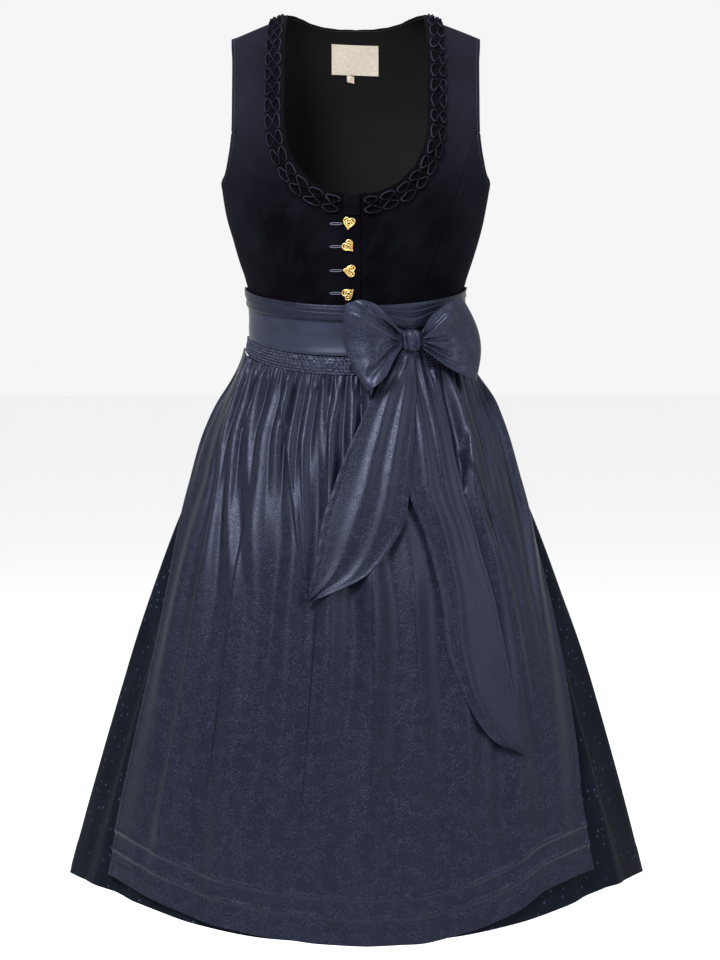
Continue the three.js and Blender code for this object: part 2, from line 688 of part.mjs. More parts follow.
/** Height of the apron's gathers and broad folds at a share of its width. */
function apronFold(share, drop) {
  const { stray, widen, grow, fall } = APRON_FOLD;
  const sway = stray.share * Math.sin(share * stray.turns) * Math.sin(share * Math.PI);
  const crest = 0.5 + 0.5 * Math.cos(2 * Math.PI * (share * GATHERS.apron + sway));
  const fine = crest * gatherRise(drop + APRON_EASE);
  const place = lerp(-APRON_HALF_ANGLE, APRON_HALF_ANGLE, share);
  const broad = APRON_FOLDS.reduce((sum, fold) => {
    const away = (place - fold.waist) / (fold.spread * widen);
    const sunk = 1 - fall.share * ramp(fall.from, fall.to, drop);
    const grown = ramp(fold.from - grow.before, fold.from + grow.after, drop) * sunk;
    return sum + fold.height * grown * Math.exp(-away * away);
  }, 0);
  return fine + broad;
}

function apronPlace(share, v) {
  const waistPhi = lerp(-APRON_HALF_ANGLE, APRON_HALF_ANGLE, share) * DEG;
  const top = dipped(BAND.smockFoot, waistPhi) - SEAM_GAP;
  let z = top;
  let phi = waistPhi;
  for (let pass = 0; pass < 4; pass += 1) {
    const hem = read(APRON_HEM, 'phi', 'z', phi / DEG);
    z = lerp(top, hem, v);
    phi = lerp(read(APRON_EDGE, 'z', 'right', z), read(APRON_EDGE, 'z', 'left', z), share) * DEG;
  }
  return { phi, z, drop: top - z, aboveHem: z - read(APRON_HEM, 'phi', 'z', phi / DEG) };
}

function apronPanel() {
  const columns = GATHERS.apron * 3 + 1;
  const levels = [...FALL.slice(0, -1), 0.925, 0.9265, 0.957, 0.9585, 1];
  const point = (inwards) => grid(levels.length, columns, (r, c) => {
    const share = c / (columns - 1);
    const place = apronPlace(share, levels[levels.length - 1 - r]);
    const tucked = TUCKS.filter((tuck) => place.aboveHem > tuck).length;
    const out = APRON_OUT + apronFold(share, place.drop) + tucked * TUCK_STEP;
    return lifted(place.phi, place.z, out - inwards);
  });
  return wallMesh('apron_panel', point(0), point(WALL.apron), 'apron');
}

/** Shirred band: puffs between rows of stitching, staggered from row to row, over a plain inside. */
function smockedBand() {
  const columns = SMOCK.cells * 2 + 1;
  const rows = SMOCK.rows * 2 + 1;
  const place = (v, u) => {
    const phi = lerp(-APRON_HALF_ANGLE, APRON_HALF_ANGLE, u) * DEG;
    const [top, foot] = [dipped(BAND.satinFoot, phi) - SEAM_GAP, dipped(BAND.smockFoot, phi)];
    return [phi, lerp(foot, top, v)];
  };
  const outer = grid(rows, columns, (r, c) => {
    const band = Math.floor(r / 2);
    const puffed = r % 2 === 1 && (c + band) % 2 === 1 ? 1 : 0;
    const ridge = r % 2 === 1 ? SMOCK.ridge : 0;
    const out = SMOCK.inside + SMOCK.base + SMOCK.raise * Math.max(puffed, ridge);
    return lifted(...place(r / (rows - 1), c / (columns - 1)), out);
  });
  const inner = grid(2, SMOCK.cells + 1, (r, c) => lifted(...place(r, c / SMOCK.cells), SMOCK.inside));
  return wallMesh('apron_smocked_band', outer, inner, 'apron');
}

/** Rise of a band over the closure's extra layer. */
function closureRise(phi) {
  if (Math.cos(phi) < 0) return 0;
  const x = read(FIGURE, 'z', 'half', WAIST_Z) * Math.sin(phi);
  const { from, full, till, gone } = CLOSURE_RISE;
  return (WALL.velvet + SEAM_GAP) * (ramp(from, full, x) - ramp(till, gone, x));
}

function bandWall(name, from, to, columns, topOf, footOf, outs, thickness, finish) {
  return figureWall(name, outs.length, columns, (v, u, r) => {
    const phi = lerp(from, to, u) * DEG;
    return [phi, lerp(footOf(phi), topOf(phi), v), outs[r] + closureRise(phi)];
  }, thickness, finish);
}

function bands() {
  const satinTop = (phi) => dipped(BAND.waistTop, phi);
  const satinFoot = (phi) => dipped(BAND.satinFoot, phi);
  const tieTop = (phi) => dipped(BAND.tieTop, phi);
  const tieFoot = (phi) => dipped(BAND.tieFoot, phi);
  const { front, backFrom, backTo, frontColumns, backColumns } = BAND_TURN;
  const side = APRON_HALF_ANGLE;
  const [satin, layered, back] = [BAND_OUTS.satin, BAND_OUTS.layered, BAND_OUTS.back];
  const wrap = (name, from, to, columns, outs) => (
    bandWall(name, from, to, columns, tieTop, tieFoot, outs, WALL.tie, 'apron')
  );
  return [
    smockedBand(),
    bandWall('apron_waistband', -side, side, frontColumns, satinTop, satinFoot, satin, WALL.satin, 'satin'),
    wrap('tie_wrap_front', -front, front, frontColumns, layered),
    wrap('tie_wrap_back', backFrom, backTo, backColumns, back),
  ];
}

// ---------------------------------------------------------------- bow and tails
const WRAP_LIMIT = 42 * DEG;

/** A point that lies out from the figure's front at x and z, and runs off straight at the side. */
function lyingOn(x, z, out) {
  const half = read(FIGURE, 'z', 'half', z) + out;
  const front = read(FIGURE, 'z', 'front', z) + out;
  const edge = half * Math.sin(WRAP_LIMIT);
  const inside = Math.min(Math.max(x, -edge), edge);
  const y = -front * Math.sqrt(1 - (inside / half) ** 2);
  const run = Math.max(0, Math.abs(x) - edge);
  return new THREE.Vector3(x, y + (run * front * Math.tan(WRAP_LIMIT)) / half, z);
}

/** Normals of a grid of points, taken from their neighbours. */
function thickened(points, thickness) {
  const [rows, columns] = [points.length, points[0].length];
  const at = (r, c) => points[Math.min(rows - 1, Math.max(0, r))][Math.min(columns - 1, Math.max(0, c))];
  return grid(rows, columns, (r, c) => {
    const across = at(r, c + 1).clone().sub(at(r, c - 1));
    const along = at(r + 1, c).clone().sub(at(r - 1, c));
    return points[r][c].clone().addScaledVector(across.cross(along).normalize(), -thickness);
  });
}

/** A bow loop: cloth that leaves the knot, folds at its far end and comes back behind. */
function bowLoop(name, table, mirrored) {
  const { turns, across } = LOOP;
  const outer = grid(across, turns, (r, c) => {
    const psi = (c / (turns - 1)) * Math.PI;
    const t = Math.sin(psi) ** LOOP.blunt;
    const w = r / (across - 1);
    const bulge = read(table, 't', 'bulge', t) * Math.sin(Math.PI * w);
    const x = lerp(read(table, 't', 'footX', t), read(table, 't', 'topX', t), w) + bulge;
    const z = lerp(read(table, 't', 'footZ', t), read(table, 't', 'topZ', t), w);
    const middle = Math.sin(Math.PI * Math.min(1, t * LOOP.fullest));
    const depth = lerp(LOOP.knotDepth, LOOP.endDepth, t) + (LOOP.puff - LOOP.endDepth) * middle;
    const crease = LOOP.crease * t * (1 - t) * Math.sin(3 * Math.PI * w);
    const front = (1 + Math.cos(psi)) / 2;
    const free = LOOP.out + foldEnvelope(z);
    const centred = free + (KNOT.out - LOOP.underKnot - free) * (1 - ramp(0, LOOP.clearOfKnot, t));
    return lyingOn(x, z, centred + front * (depth + crease));
  });
  const facing = mirrored ? outer.map(reversed) : outer;
  return wallMesh(name, facing, thickened(facing, WALL.satin), 'apron');
}

/** The highest that the apron's folds stand at a height, so that what lies on them clears them. */
function foldEnvelope(z) {
  const { onBands, above, margin, fold, from, full, turn } = ENVELOPE;
  const drop = dipped(BAND.smockFoot, turn) - z;
  if (drop < above) return onBands;
  return margin * (APRON_OUT + gatherRise(drop + APRON_EASE) + fold * ramp(from, full, drop));
}

function knot() {
  const sphere = new THREE.SphereGeometry(1, 16, 10);
  sphere.deleteAttribute('normal');
  sphere.deleteAttribute('uv');
  const position = sphere.getAttribute('position');
  const square = (v) => Math.sign(v) * Math.abs(v) ** KNOT.square;
  const centre = lyingOn(KNOT.x, KNOT.z, KNOT.out);
  for (let i = 0; i < position.count; i += 1) {
    const [x, y, z] = [position.getX(i), position.getY(i), position.getZ(i)];
    const pleat = 1 + KNOT.pleat * Math.cos(KNOT.pleats * x);
    position.setXYZ(
      i,
      square(x) * KNOT.half[0] + centre.x,
      square(z) * KNOT.half[1] * pleat + centre.y,
      -square(y) * KNOT.half[2] + centre.z,
    );
  }
  const merged = mergeVertices(sphere, MERGE);
  const [index, points] = [merged.getIndex(), merged.getAttribute('position')];
  const vertex = (k) => new THREE.Vector3().fromBufferAttribute(points, index.getX(k));
  const faces = [];
  for (let k = 0; k < index.count; k += 3) {
    const distinct = new Set([index.getX(k), index.getX(k + 1), index.getX(k + 2)]);
    if (distinct.size === 3) faces.push([vertex(k), vertex(k + 1), vertex(k + 2)]);
  }
  return solidMesh('bow_knot', faces, 'apron');
}

/** A tail hangs from the knot over the apron's folds. */
function tail(name, table, out) {
  const columns = TAIL.columns;
  const outer = grid(table.length * 2 - 1, columns, (r, c) => {
    const i = Math.min(table.length - 2, Math.floor(r / 2));
    const t = r / 2 - i;
    const z = lerp(table[i].z, table[i + 1].z, t);
    const u = c / (columns - 1);
    const x = lerp(read(table, 'z', 'left', z), read(table, 'z', 'right', z), u);
    const under = KNOT.out - TAIL.underKnot - foldEnvelope(z);
    const knotLift = under * (1 - ramp(0, TAIL.clearOfKnot, table[0].z - z));
    return lyingOn(x, z, foldEnvelope(z) + out + knotLift);
  });
  const upwards = reversed(outer);
  return wallMesh(name, upwards, thickened(upwards, WALL.tail), 'apron');
}

// ---------------------------------------------------------------- assembly
const group = new THREE.Group();
group.add(frontPanel('bodice_front_right', -1, -OVERLAP.top, overlapRise));
group.add(frontPanel('bodice_front_left', 1, OVERLAP.under, () => 0));
[['right', -1], ['left', 1]].forEach(([word, side]) => {
  group.add(sidePanel(`bodice_side_front_${word}`, side, PRINCESS, false));
  group.add(sidePanel(`bodice_side_back_${word}`, side, BACK_SEAM, true));
});
group.add(...backPanels(), innerTag('neck_label', LABEL), innerTag('size_tab', SIZE_TAB));
group.add(...trims());
BUTTONS.forEach((row, index) => group.add(button(index, row)));
group.add(...skirt(), apronPanel(), ...bands());
group.add(bowLoop('bow_loop_right', RIGHT_LOOP, true));
group.add(bowLoop('bow_loop_left', LEFT_LOOP, false));
group.add(knot());
group.add(tail('tie_tail_long', LONG_TAIL, TAIL.underOut));
group.add(tail('tie_tail_short', SHORT_TAIL, TAIL.overOut));

export default group;
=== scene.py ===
"""A dirndl as it hangs when worn: velvet bodice, gathered skirt and a tied apron."""

import logging
import math
from collections.abc import Callable, Sequence
from dataclasses import dataclass, field
from enum import Enum
from typing import Any

import bpy
import numpy as np
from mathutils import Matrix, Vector


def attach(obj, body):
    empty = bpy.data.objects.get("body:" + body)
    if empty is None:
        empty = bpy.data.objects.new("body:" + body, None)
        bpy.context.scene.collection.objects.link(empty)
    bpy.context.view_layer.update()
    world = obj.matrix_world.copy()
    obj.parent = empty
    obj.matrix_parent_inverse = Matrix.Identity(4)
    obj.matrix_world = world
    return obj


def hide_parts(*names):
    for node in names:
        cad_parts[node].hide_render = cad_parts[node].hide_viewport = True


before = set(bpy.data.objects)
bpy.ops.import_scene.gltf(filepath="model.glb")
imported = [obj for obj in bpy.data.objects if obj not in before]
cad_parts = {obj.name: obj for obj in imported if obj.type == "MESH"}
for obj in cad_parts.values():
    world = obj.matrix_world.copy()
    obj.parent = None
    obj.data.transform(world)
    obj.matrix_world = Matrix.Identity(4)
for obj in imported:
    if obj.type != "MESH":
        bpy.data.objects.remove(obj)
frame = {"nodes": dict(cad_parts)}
log = logging.getLogger("dirndl")

Array = np.ndarray
Reals = Array | float
Piece = bpy.types.Object
Triple = tuple[float, float, float]
MM = 0.001
DEG = math.pi / 180


def smooth(start: float, end: float, at: Reals) -> Array:
    """Smooth step that rises from 0 at start to 1 at end."""
    t = np.clip((np.asarray(at, float) - start) / (end - start), 0, 1)
    return t * t * (3 - 2 * t)


def mix(a: Reals, b: Reals, t: Reals) -> Array:
    """Straight blend from a at 0 to b at 1."""
    return a + (b - a) * np.asarray(t, float)


class Table:
    """Rows of numbers with named columns, read along the first one by a smooth monotone curve."""

    def __init__(self, names: str, rows: Sequence[Sequence[float]]) -> None:
        """Keeps the rows in rising order of the first column.

        Args:
            names: the column names, separated by spaces; the first is the key.
            rows: one sequence of numbers for each row.
        """
        ordered = np.array(sorted(rows, key=lambda row: row[0]), float)
        self.columns = dict(zip(names.split(), ordered.T))
        self.keys = ordered[:, 0]

    def read(self, name: str, at: Reals) -> Array:
        """Values of a column at places of the key column.

        Args:
            name: the column to read.
            at: places along the key column; those past the ends take the end rows.

        Returns:
            The values, in the shape of at.
        """
        keys, values = self.keys, self.columns[name]
        at = np.clip(np.asarray(at, float), keys[0], keys[-1])
        slopes = np.diff(values) / np.diff(keys)
        before, after = slopes[:-1], slopes[1:]
        total = np.where(before + after == 0, 1, before + after)
        middle = np.where(before * after <= 0, 0, 2 * before * after / total)
        tangents = np.concatenate([slopes[:1], middle, slopes[-1:]])
        i = np.clip(np.searchsorted(keys, at, side="right") - 1, 0, len(keys) - 2)
        width = keys[i + 1] - keys[i]
        t = (at - keys[i]) / width
        t2, t3 = t * t, t * t * t
        return (
            (2 * t3 - 3 * t2 + 1) * values[i]
            + (t3 - 2 * t2 + t) * width * tangents[i]
            + (3 * t2 - 2 * t3) * values[i + 1]
            + (t3 - t2) * width * tangents[i + 1]
        )


def table(names: str, *rows: Sequence[float]) -> Any:
    """A field of a dataclass that holds a table of these rows."""
    return field(default_factory=lambda: Table(names, rows))


def unit(vectors: Array) -> Array:
    """The vectors of the last axis at length 1."""
    return vectors / np.maximum(np.linalg.norm(vectors, axis=-1, keepdims=True), 1e-9)


@dataclass
class Figure:
    """The general figure that holds the cloth out: sizes in mm, front towards -Y.

    Attributes:
        rows: half-width, and depth of the front and the back, at each height.
        knee: where the chest ends and the shoulders begin to round over.
        arc: running length from the knee to the shoulder seam.
        lean: how far the cloth leans in at the knee, in radians.
        seam_y: how far back the shoulder seam lies.
        neck_x, neck_z: the neck point.
        slope: fall of the shoulder.
        soften: how wide the shoulder line is rounded at the centre.
    """

    rows: Table = table(
        "z half front back",
        (-1080, 366, 247, 240), (-1023, 352.5, 239, 233), (-936, 330, 225, 222),
        (-838, 302, 207, 208), (-740, 272, 187, 193), (-643, 238, 165, 175),
        (-594, 219, 152, 164), (-546, 198, 138, 150), (-499, 176, 124, 133),
        (-450, 151, 109, 112), (-426, 141, 103, 99), (-397, 131, 96, 87),
        (-372, 126, 92, 79), (-330, 127, 92.5, 79), (-308, 131.7, 94, 80),
        (-284, 139.5, 96, 82), (-260, 146.5, 98, 85), (-236, 153, 100, 87),
        (-212, 157.5, 100, 89), (-197, 160, 99, 90), (-150, 176, 90, 90),
        (-110, 182, 78, 88),
    )
    knee: float = -110
    arc: float = 130
    lean: float = math.pi * 0.14
    seam_y: float = 6
    neck_x: float = 80
    neck_z: float = 5
    slope: float = 0.412
    soften: float = 30

    @property
    def top(self) -> float:
        """Running height of the shoulder seam."""
        return self.knee + self.arc

    def half(self, h: Reals) -> Array:
        """Half-width of the figure at a running height."""
        return self.rows.read("half", np.minimum(h, self.knee))

    def crown(self, x: Reals) -> Array:
        """Height of the shoulder line over a distance from the centre."""
        away = np.hypot(x, self.soften) - math.hypot(self.neck_x, self.soften)
        return self.neck_z - away * self.slope

    def point(self, phi: Reals, h: Reals) -> Array:
        """Points of the figure.

        Args:
            phi: angles in radians, 0 at the front centre, rising towards +X and the back.
            h: running heights; past the knee they round over to the shoulder seam.

        Returns:
            The points, with their three coordinates in the last axis.
        """
        phi, h = np.broadcast_arrays(np.asarray(phi, float), np.asarray(h, float))
        level = np.minimum(h, self.knee)
        depth = np.where(
            np.cos(phi) >= 0, self.rows.read("front", level), self.rows.read("back", level)
        )
        x = self.rows.read("half", level) * np.sin(phi)
        y = -depth * np.cos(phi)
        turn = mix(self.lean, math.pi / 2, np.maximum(0, h - self.knee) / self.arc)
        rise = (np.sin(turn) - math.sin(self.lean)) / (1 - math.sin(self.lean))
        over = h > self.knee
        z = np.where(over, self.knee + (self.crown(x) - self.knee) * rise, h)
        rounded = self.seam_y + (y - self.seam_y) * np.cos(turn) / math.cos(self.lean)
        return np.stack([x, np.where(over, rounded, y), z], axis=-1)

    def along_phi(self, phi: Array, h: Array, step: float = 1e-3) -> Array:
        """Change of the point with the angle."""
        return (self.point(phi + step, h) - self.point(phi - step, h)) / (2 * step)

    def along_h(self, phi: Array, h: Array, step: float = 0.1) -> Array:
        """Change of the point with the running height."""
        return (self.point(phi, h + step) - self.point(phi, h - step)) / (2 * step)

    def normal(self, phi: Array, h: Array) -> Array:
        """Outward directions."""
        return unit(np.cross(self.along_phi(phi, h), self.along_h(phi, h)))

    def lifted(self, phi: Array, h: Array, out: Reals) -> Array:
        """Points moved out along the normals by out millimetres."""
        phi, h, out = np.broadcast_arrays(phi, h, out)
        return self.point(phi, h) + self.normal(phi, h) * out[..., None]

    def angle_of(self, x: Reals, h: Reals, back: bool = False) -> Array:
        """Angle of a front or back point from its distance off the centre line."""
        side = np.arcsin(np.clip(np.asarray(x, float) / self.half(h), -1, 1))
        return math.pi - side if back else side

    def beside(self, path: Array, reach: int, w: Array) -> Array:
        """Places that lie w millimetres to the right of a path.

        Args:
            path: (phi, h) places along the path.
            reach: how many places before and after give the path's direction.
            w: distances, one for each column of the result.

        Returns:
            (phi, h) places, one row for each place of the path.
        """
        count = len(path)
        k = np.arange(count)
        points = self.point(path[:, 0], path[:, 1])
        tangent = points[np.minimum(count - 1, k + reach)] - points[np.maximum(0, k - reach)]
        aside = unit(np.cross(tangent, self.normal(path[:, 0], path[:, 1])))
        pu, pv = self.along_phi(path[:, 0], path[:, 1]), self.along_h(path[:, 0], path[:, 1])
        e, f, g = (pu * pu).sum(-1), (pu * pv).sum(-1), (pv * pv).sum(-1)
        a, b = (pu * aside).sum(-1), (pv * aside).sum(-1)
        det = e * g - f * f
        step = np.stack([(a * g - b * f) / det, (b * e - a * f) / det], axis=-1)
        return path[:, None, :] + step[:, None, :] * np.asarray(w, float)[None, :, None]


def lengths(points: Array) -> Array:
    """Running length along a line of points, from 0."""
    return np.concatenate([[0], np.cumsum(np.linalg.norm(np.diff(points, axis=0), axis=-1))])


def ripple(count: int, seed: int) -> Callable[[Array], Array]:
    """A smooth wandering value between about -1 and 1.

    Args:
        count: how many turns it takes from 0 to 1.
        seed: the seed of its random heights.

    Returns:
        A function of places from 0 to 1.
    """
    heights = np.random.default_rng(seed).uniform(-1, 1, count + 3)
    places = np.linspace(-1 / count, 1 + 1 / count, count + 3)
    curve = Table("at value", list(zip(places, heights)))
    return lambda at: curve.read("value", at)


# --- meshes
UV_NAME = "cloth"


def zipped(a: Sequence[int], b: Sequence[int]) -> list[list[int]]:
    """Triangles between two lines of vertices that start and end side by side.

    Args:
        a: indices of one line.
        b: indices of the other.

    Returns:
        The triangles.
    """
    faces, i, j = [], 0, 0
    last_a, last_b = len(a) - 1, len(b) - 1
    while i < last_a or j < last_b:
        if j == last_b or (i < last_a and (i + 1) * last_b <= (j + 1) * last_a):
            faces.append([a[i + 1], a[i], b[j]])
            i += 1
        else:
            faces.append([b[j], b[j + 1], a[i]])
            j += 1
    return faces


def every(stride: int, count: int) -> Array:
    """Each stride-th index of a row of count places, and its last."""
    return np.unique(np.append(np.arange(0, count, stride), count - 1))


def grid_normals(points: Array) -> Array:
    """Directions out of a grid whose columns run one way and rows the other."""
    return unit(np.cross(np.gradient(points, axis=1), np.gradient(points, axis=0)))


def cloth_map(points: Array) -> Array:
    """Places on the flat cloth, from the running lengths of a grid.

    Args:
        points: the grid in mm.

    Returns:
        Places in metres, across from the middle column and along from the first row.
    """
    across = np.linalg.norm(np.diff(points, axis=1), axis=-1)
    along = np.linalg.norm(np.diff(points, axis=0), axis=-1)
    u = np.pad(np.cumsum(across, axis=1), ((0, 0), (1, 0)))
    v = np.pad(np.cumsum(along, axis=0), ((1, 0), (0, 0)))
    u = u - u[:, [u.shape[1] // 2]]
    return np.stack([u, mix(v, v.mean(axis=1, keepdims=True), 0.7)], axis=-1) * MM


class Maker:
    """Collects the parts of one piece and turns them into a mesh object."""

    def __init__(self, name: str) -> None:
        """Starts an empty piece.

        Args:
            name: its name.
        """
        self.name = name
        self.points: list[Array] = []
        self.maps: list[Array] = []
        self.faces: list[list[int]] = []
        self.count = 0

    def add(self, points: Array, maps: Array) -> Array:
        """Adds a grid of points without faces.

        Args:
            points: the points in mm.
            maps: their places on the flat cloth, in metres.

        Returns:
            Their vertex indices, in the grid's shape.
        """
        start = self.count
        self.points.append(points.reshape(-1, 3))
        self.maps.append(maps.reshape(-1, 2))
        self.count += len(self.points[-1])
        return np.arange(start, self.count).reshape(points.shape[:2])

    def patch(self, points: Array, maps: Array, flip: bool = False) -> Array:
        """Adds a grid of points and the faces between them.

        Args:
            points: the points in mm.
            maps: their places on the flat cloth, in metres.
            flip: whether the faces look the other way.

        Returns:
            The vertex indices, in the grid's shape.
        """
        ids = self.add(points, maps)
        quads = np.stack([ids[:-1, :-1], ids[:-1, 1:], ids[1:, 1:], ids[1:, :-1]], axis=-1)
        quads = quads[..., ::-1] if flip else quads
        self.faces.extend(quads.reshape(-1, 4).tolist())
        return ids

    def shell(
        self, outer: Array, inner: Array, maps: Array, rows: Array, columns: Array
    ) -> "Maker":
        """Adds a closed shell between an outer grid and a coarser inner one.

        Args:
            outer: the outer grid in mm; columns cross rows so that they face outwards.
            inner: the inner grid in mm, in the outer one's shape.
            maps: places on the flat cloth, in metres.
            rows: the rows that the inner side keeps.
            columns: the columns that the inner side keeps.

        Returns:
            The maker itself.
        """
        kept = np.ix_(rows, columns)
        out_ids = self.patch(outer, maps)
        in_ids = self.patch(inner[kept], maps[kept], flip=True)
        for side in (
            lambda g: g[0],
            lambda g: g[:, -1],
            lambda g: g[-1][::-1],
            lambda g: g[:, 0][::-1],
        ):
            self.faces.extend(zipped(side(out_ids).tolist(), side(in_ids).tolist()))
        return self

    def wall(self, outer: Array, thickness: float, stride: int = 2) -> "Maker":
        """Adds a closed wall of cloth.

        Args:
            outer: the outer grid in mm; columns cross rows so that they face outwards.
            thickness: how far the inner side lies behind it, in mm.
            stride: how many outer steps one step of the inner side spans.

        Returns:
            The maker itself.
        """
        rows, columns = (every(stride, count) for count in outer.shape[:2])
        inner = outer - grid_normals(outer) * thickness
        return self.shell(outer, inner, cloth_map(outer), rows, columns)

    def rings(self, rings: Array, maps: Array, closed: bool = False) -> "Maker":
        """Adds a round skin through a row of rings.

        Args:
            rings: the rings in mm, one a row.
            maps: their places on the flat cloth, in metres.
            closed: whether the last ring joins the first; if not, both ends are capped.

        Returns:
            The maker itself.
        """
        ids = self.add(rings, maps)
        ahead = np.roll(ids, -1, axis=0)
        quads = np.stack([ids, np.roll(ids, -1, 1), np.roll(ahead, -1, 1), ahead], axis=-1)
        self.faces.extend(quads[: len(ids) if closed else -1].reshape(-1, 4).tolist())
        if not closed:
            self.faces.extend([ids[0, ::-1].tolist(), ids[-1].tolist()])
        return self

    def tube(
        self, line: Array, radius: Reals, sides: int = 6, closed: bool = False
    ) -> "Maker":
        """Adds a round thread along a line of points.

        Args:
            line: the centre line in mm.
            radius: one radius in mm, or one for each point.
            sides: how many sides it has.
            closed: whether its end joins its start.

        Returns:
            The maker itself.
        """
        line = np.asarray(line, float)
        if closed:
            direction = unit(np.roll(line, -1, axis=0) - np.roll(line, 1, axis=0))
        else:
            direction = unit(np.gradient(line, axis=0))
        away = np.zeros_like(line)
        seed = np.array([0.31, 0.87, 0.38])
        for k, d in enumerate(direction):
            seed = unit(seed - d * (seed @ d))
            away[k] = seed
        beside = np.cross(direction, away)
        around = np.linspace(0, 2 * math.pi, sides, endpoint=False)
        r = np.broadcast_to(np.asarray(radius, float), len(line))[:, None, None]
        rings = line[:, None] + r * (
            away[:, None] * np.cos(around)[None, :, None]
            + beside[:, None] * np.sin(around)[None, :, None]
        )
        run = lengths(line)[:, None] * MM
        spread = np.broadcast_to(around * float(r.mean()) * MM, (len(line), sides))
        maps = np.stack([np.broadcast_to(run, spread.shape), spread], axis=-1)
        return self.rings(rings, maps, closed)

    def build(self, finish: "Finish", replaces: Sequence[str] = ()) -> Piece:
        """Makes the object, dresses it and lets it ride on the body.

        Args:
            finish: the finish of its whole surface.
            replaces: the solids of the frame that it stands for.

        Returns:
            The object.
        """
        name = f"{self.name}_sewn" if replaces else self.name
        mesh = bpy.data.meshes.new(name)
        mesh.from_pydata(np.concatenate(self.points) * MM, [], self.faces)
        corner = np.zeros(len(mesh.loops), np.int32)
        mesh.loops.foreach_get("vertex_index", corner)
        layer = mesh.uv_layers.new(name=UV_NAME)
        layer.data.foreach_set("uv", np.concatenate(self.maps)[corner].ravel())
        mesh.polygons.foreach_set("use_smooth", [True] * len(mesh.polygons))
        mesh.set_sharp_from_angle(angle=math.radians(62))
        mesh.materials.append(finish.material())
        piece = bpy.data.objects.new(name, mesh)
        bpy.context.scene.collection.objects.link(piece)
        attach(piece, "root")
        if replaces:
            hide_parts(*replaces)
        log.info("%s: %d faces", self.name, len(self.faces))
        return piece


# --- finishes
def paint(red: float, green: float, blue: float) -> tuple[float, float, float, float]:
    """A colour of a paint chart, as the shader takes it.

    Args:
        red: its red, 0 to 255.
        green: its green, 0 to 255.
        blue: its blue, 0 to 255.

    Returns:
        The linear colour.
    """
    light = [
        c / 12.92 if c <= 0.04045 else ((c + 0.055) / 1.055) ** 2.4
        for c in (red / 255, green / 255, blue / 255)
    ]
    return light[0], light[1], light[2], 1.0


class Signal:
    """A shader socket that takes part in sums as a number does."""

    def __init__(self, recipe: "Recipe", socket: bpy.types.NodeSocket) -> None:
        """Wraps one output socket."""
        self.recipe = recipe
        self.socket = socket

    def _math(self, operation: str, *values: "Signal | float") -> "Signal":
        """One Math node on these values."""
        inputs = dict(enumerate(values))
        return self.recipe.node("ShaderNodeMath", {"operation": operation}, inputs)

    def __add__(self, other: "Signal | float") -> "Signal":
        """Sum."""
        return self._math("ADD", self, other)

    __radd__ = __add__

    def __sub__(self, other: "Signal | float") -> "Signal":
        """Difference."""
        return self._math("SUBTRACT", self, other)

    def __rsub__(self, other: float) -> "Signal":
        """Difference from a number."""
        return self._math("SUBTRACT", other, self)

    def __mul__(self, other: "Signal | float") -> "Signal":
        """Product."""
        return self._math("MULTIPLY", self, other)

    __rmul__ = __mul__

    def sine(self) -> "Signal":
        """Sine of the value."""
        return self._math("SINE", self)

    def absolute(self) -> "Signal":
        """The value without its sign."""
        return self._math("ABSOLUTE", self)

    def step(self, low: float, high: float) -> "Signal":
        """Smooth step from 0 at low to 1 at high.

        Args:
            low: where the result is 0.
            high: where it is 1; it may lie below low.

        Returns:
            The result.
        """
        settings = {"interpolation_type": "SMOOTHSTEP"}
        ends = {"From Min": min(low, high), "From Max": max(low, high)}
        if low > high:
            ends |= {"To Min": 1.0, "To Max": 0.0}
        return self.recipe.node("ShaderNodeMapRange", settings, {"Value": self, **ends})


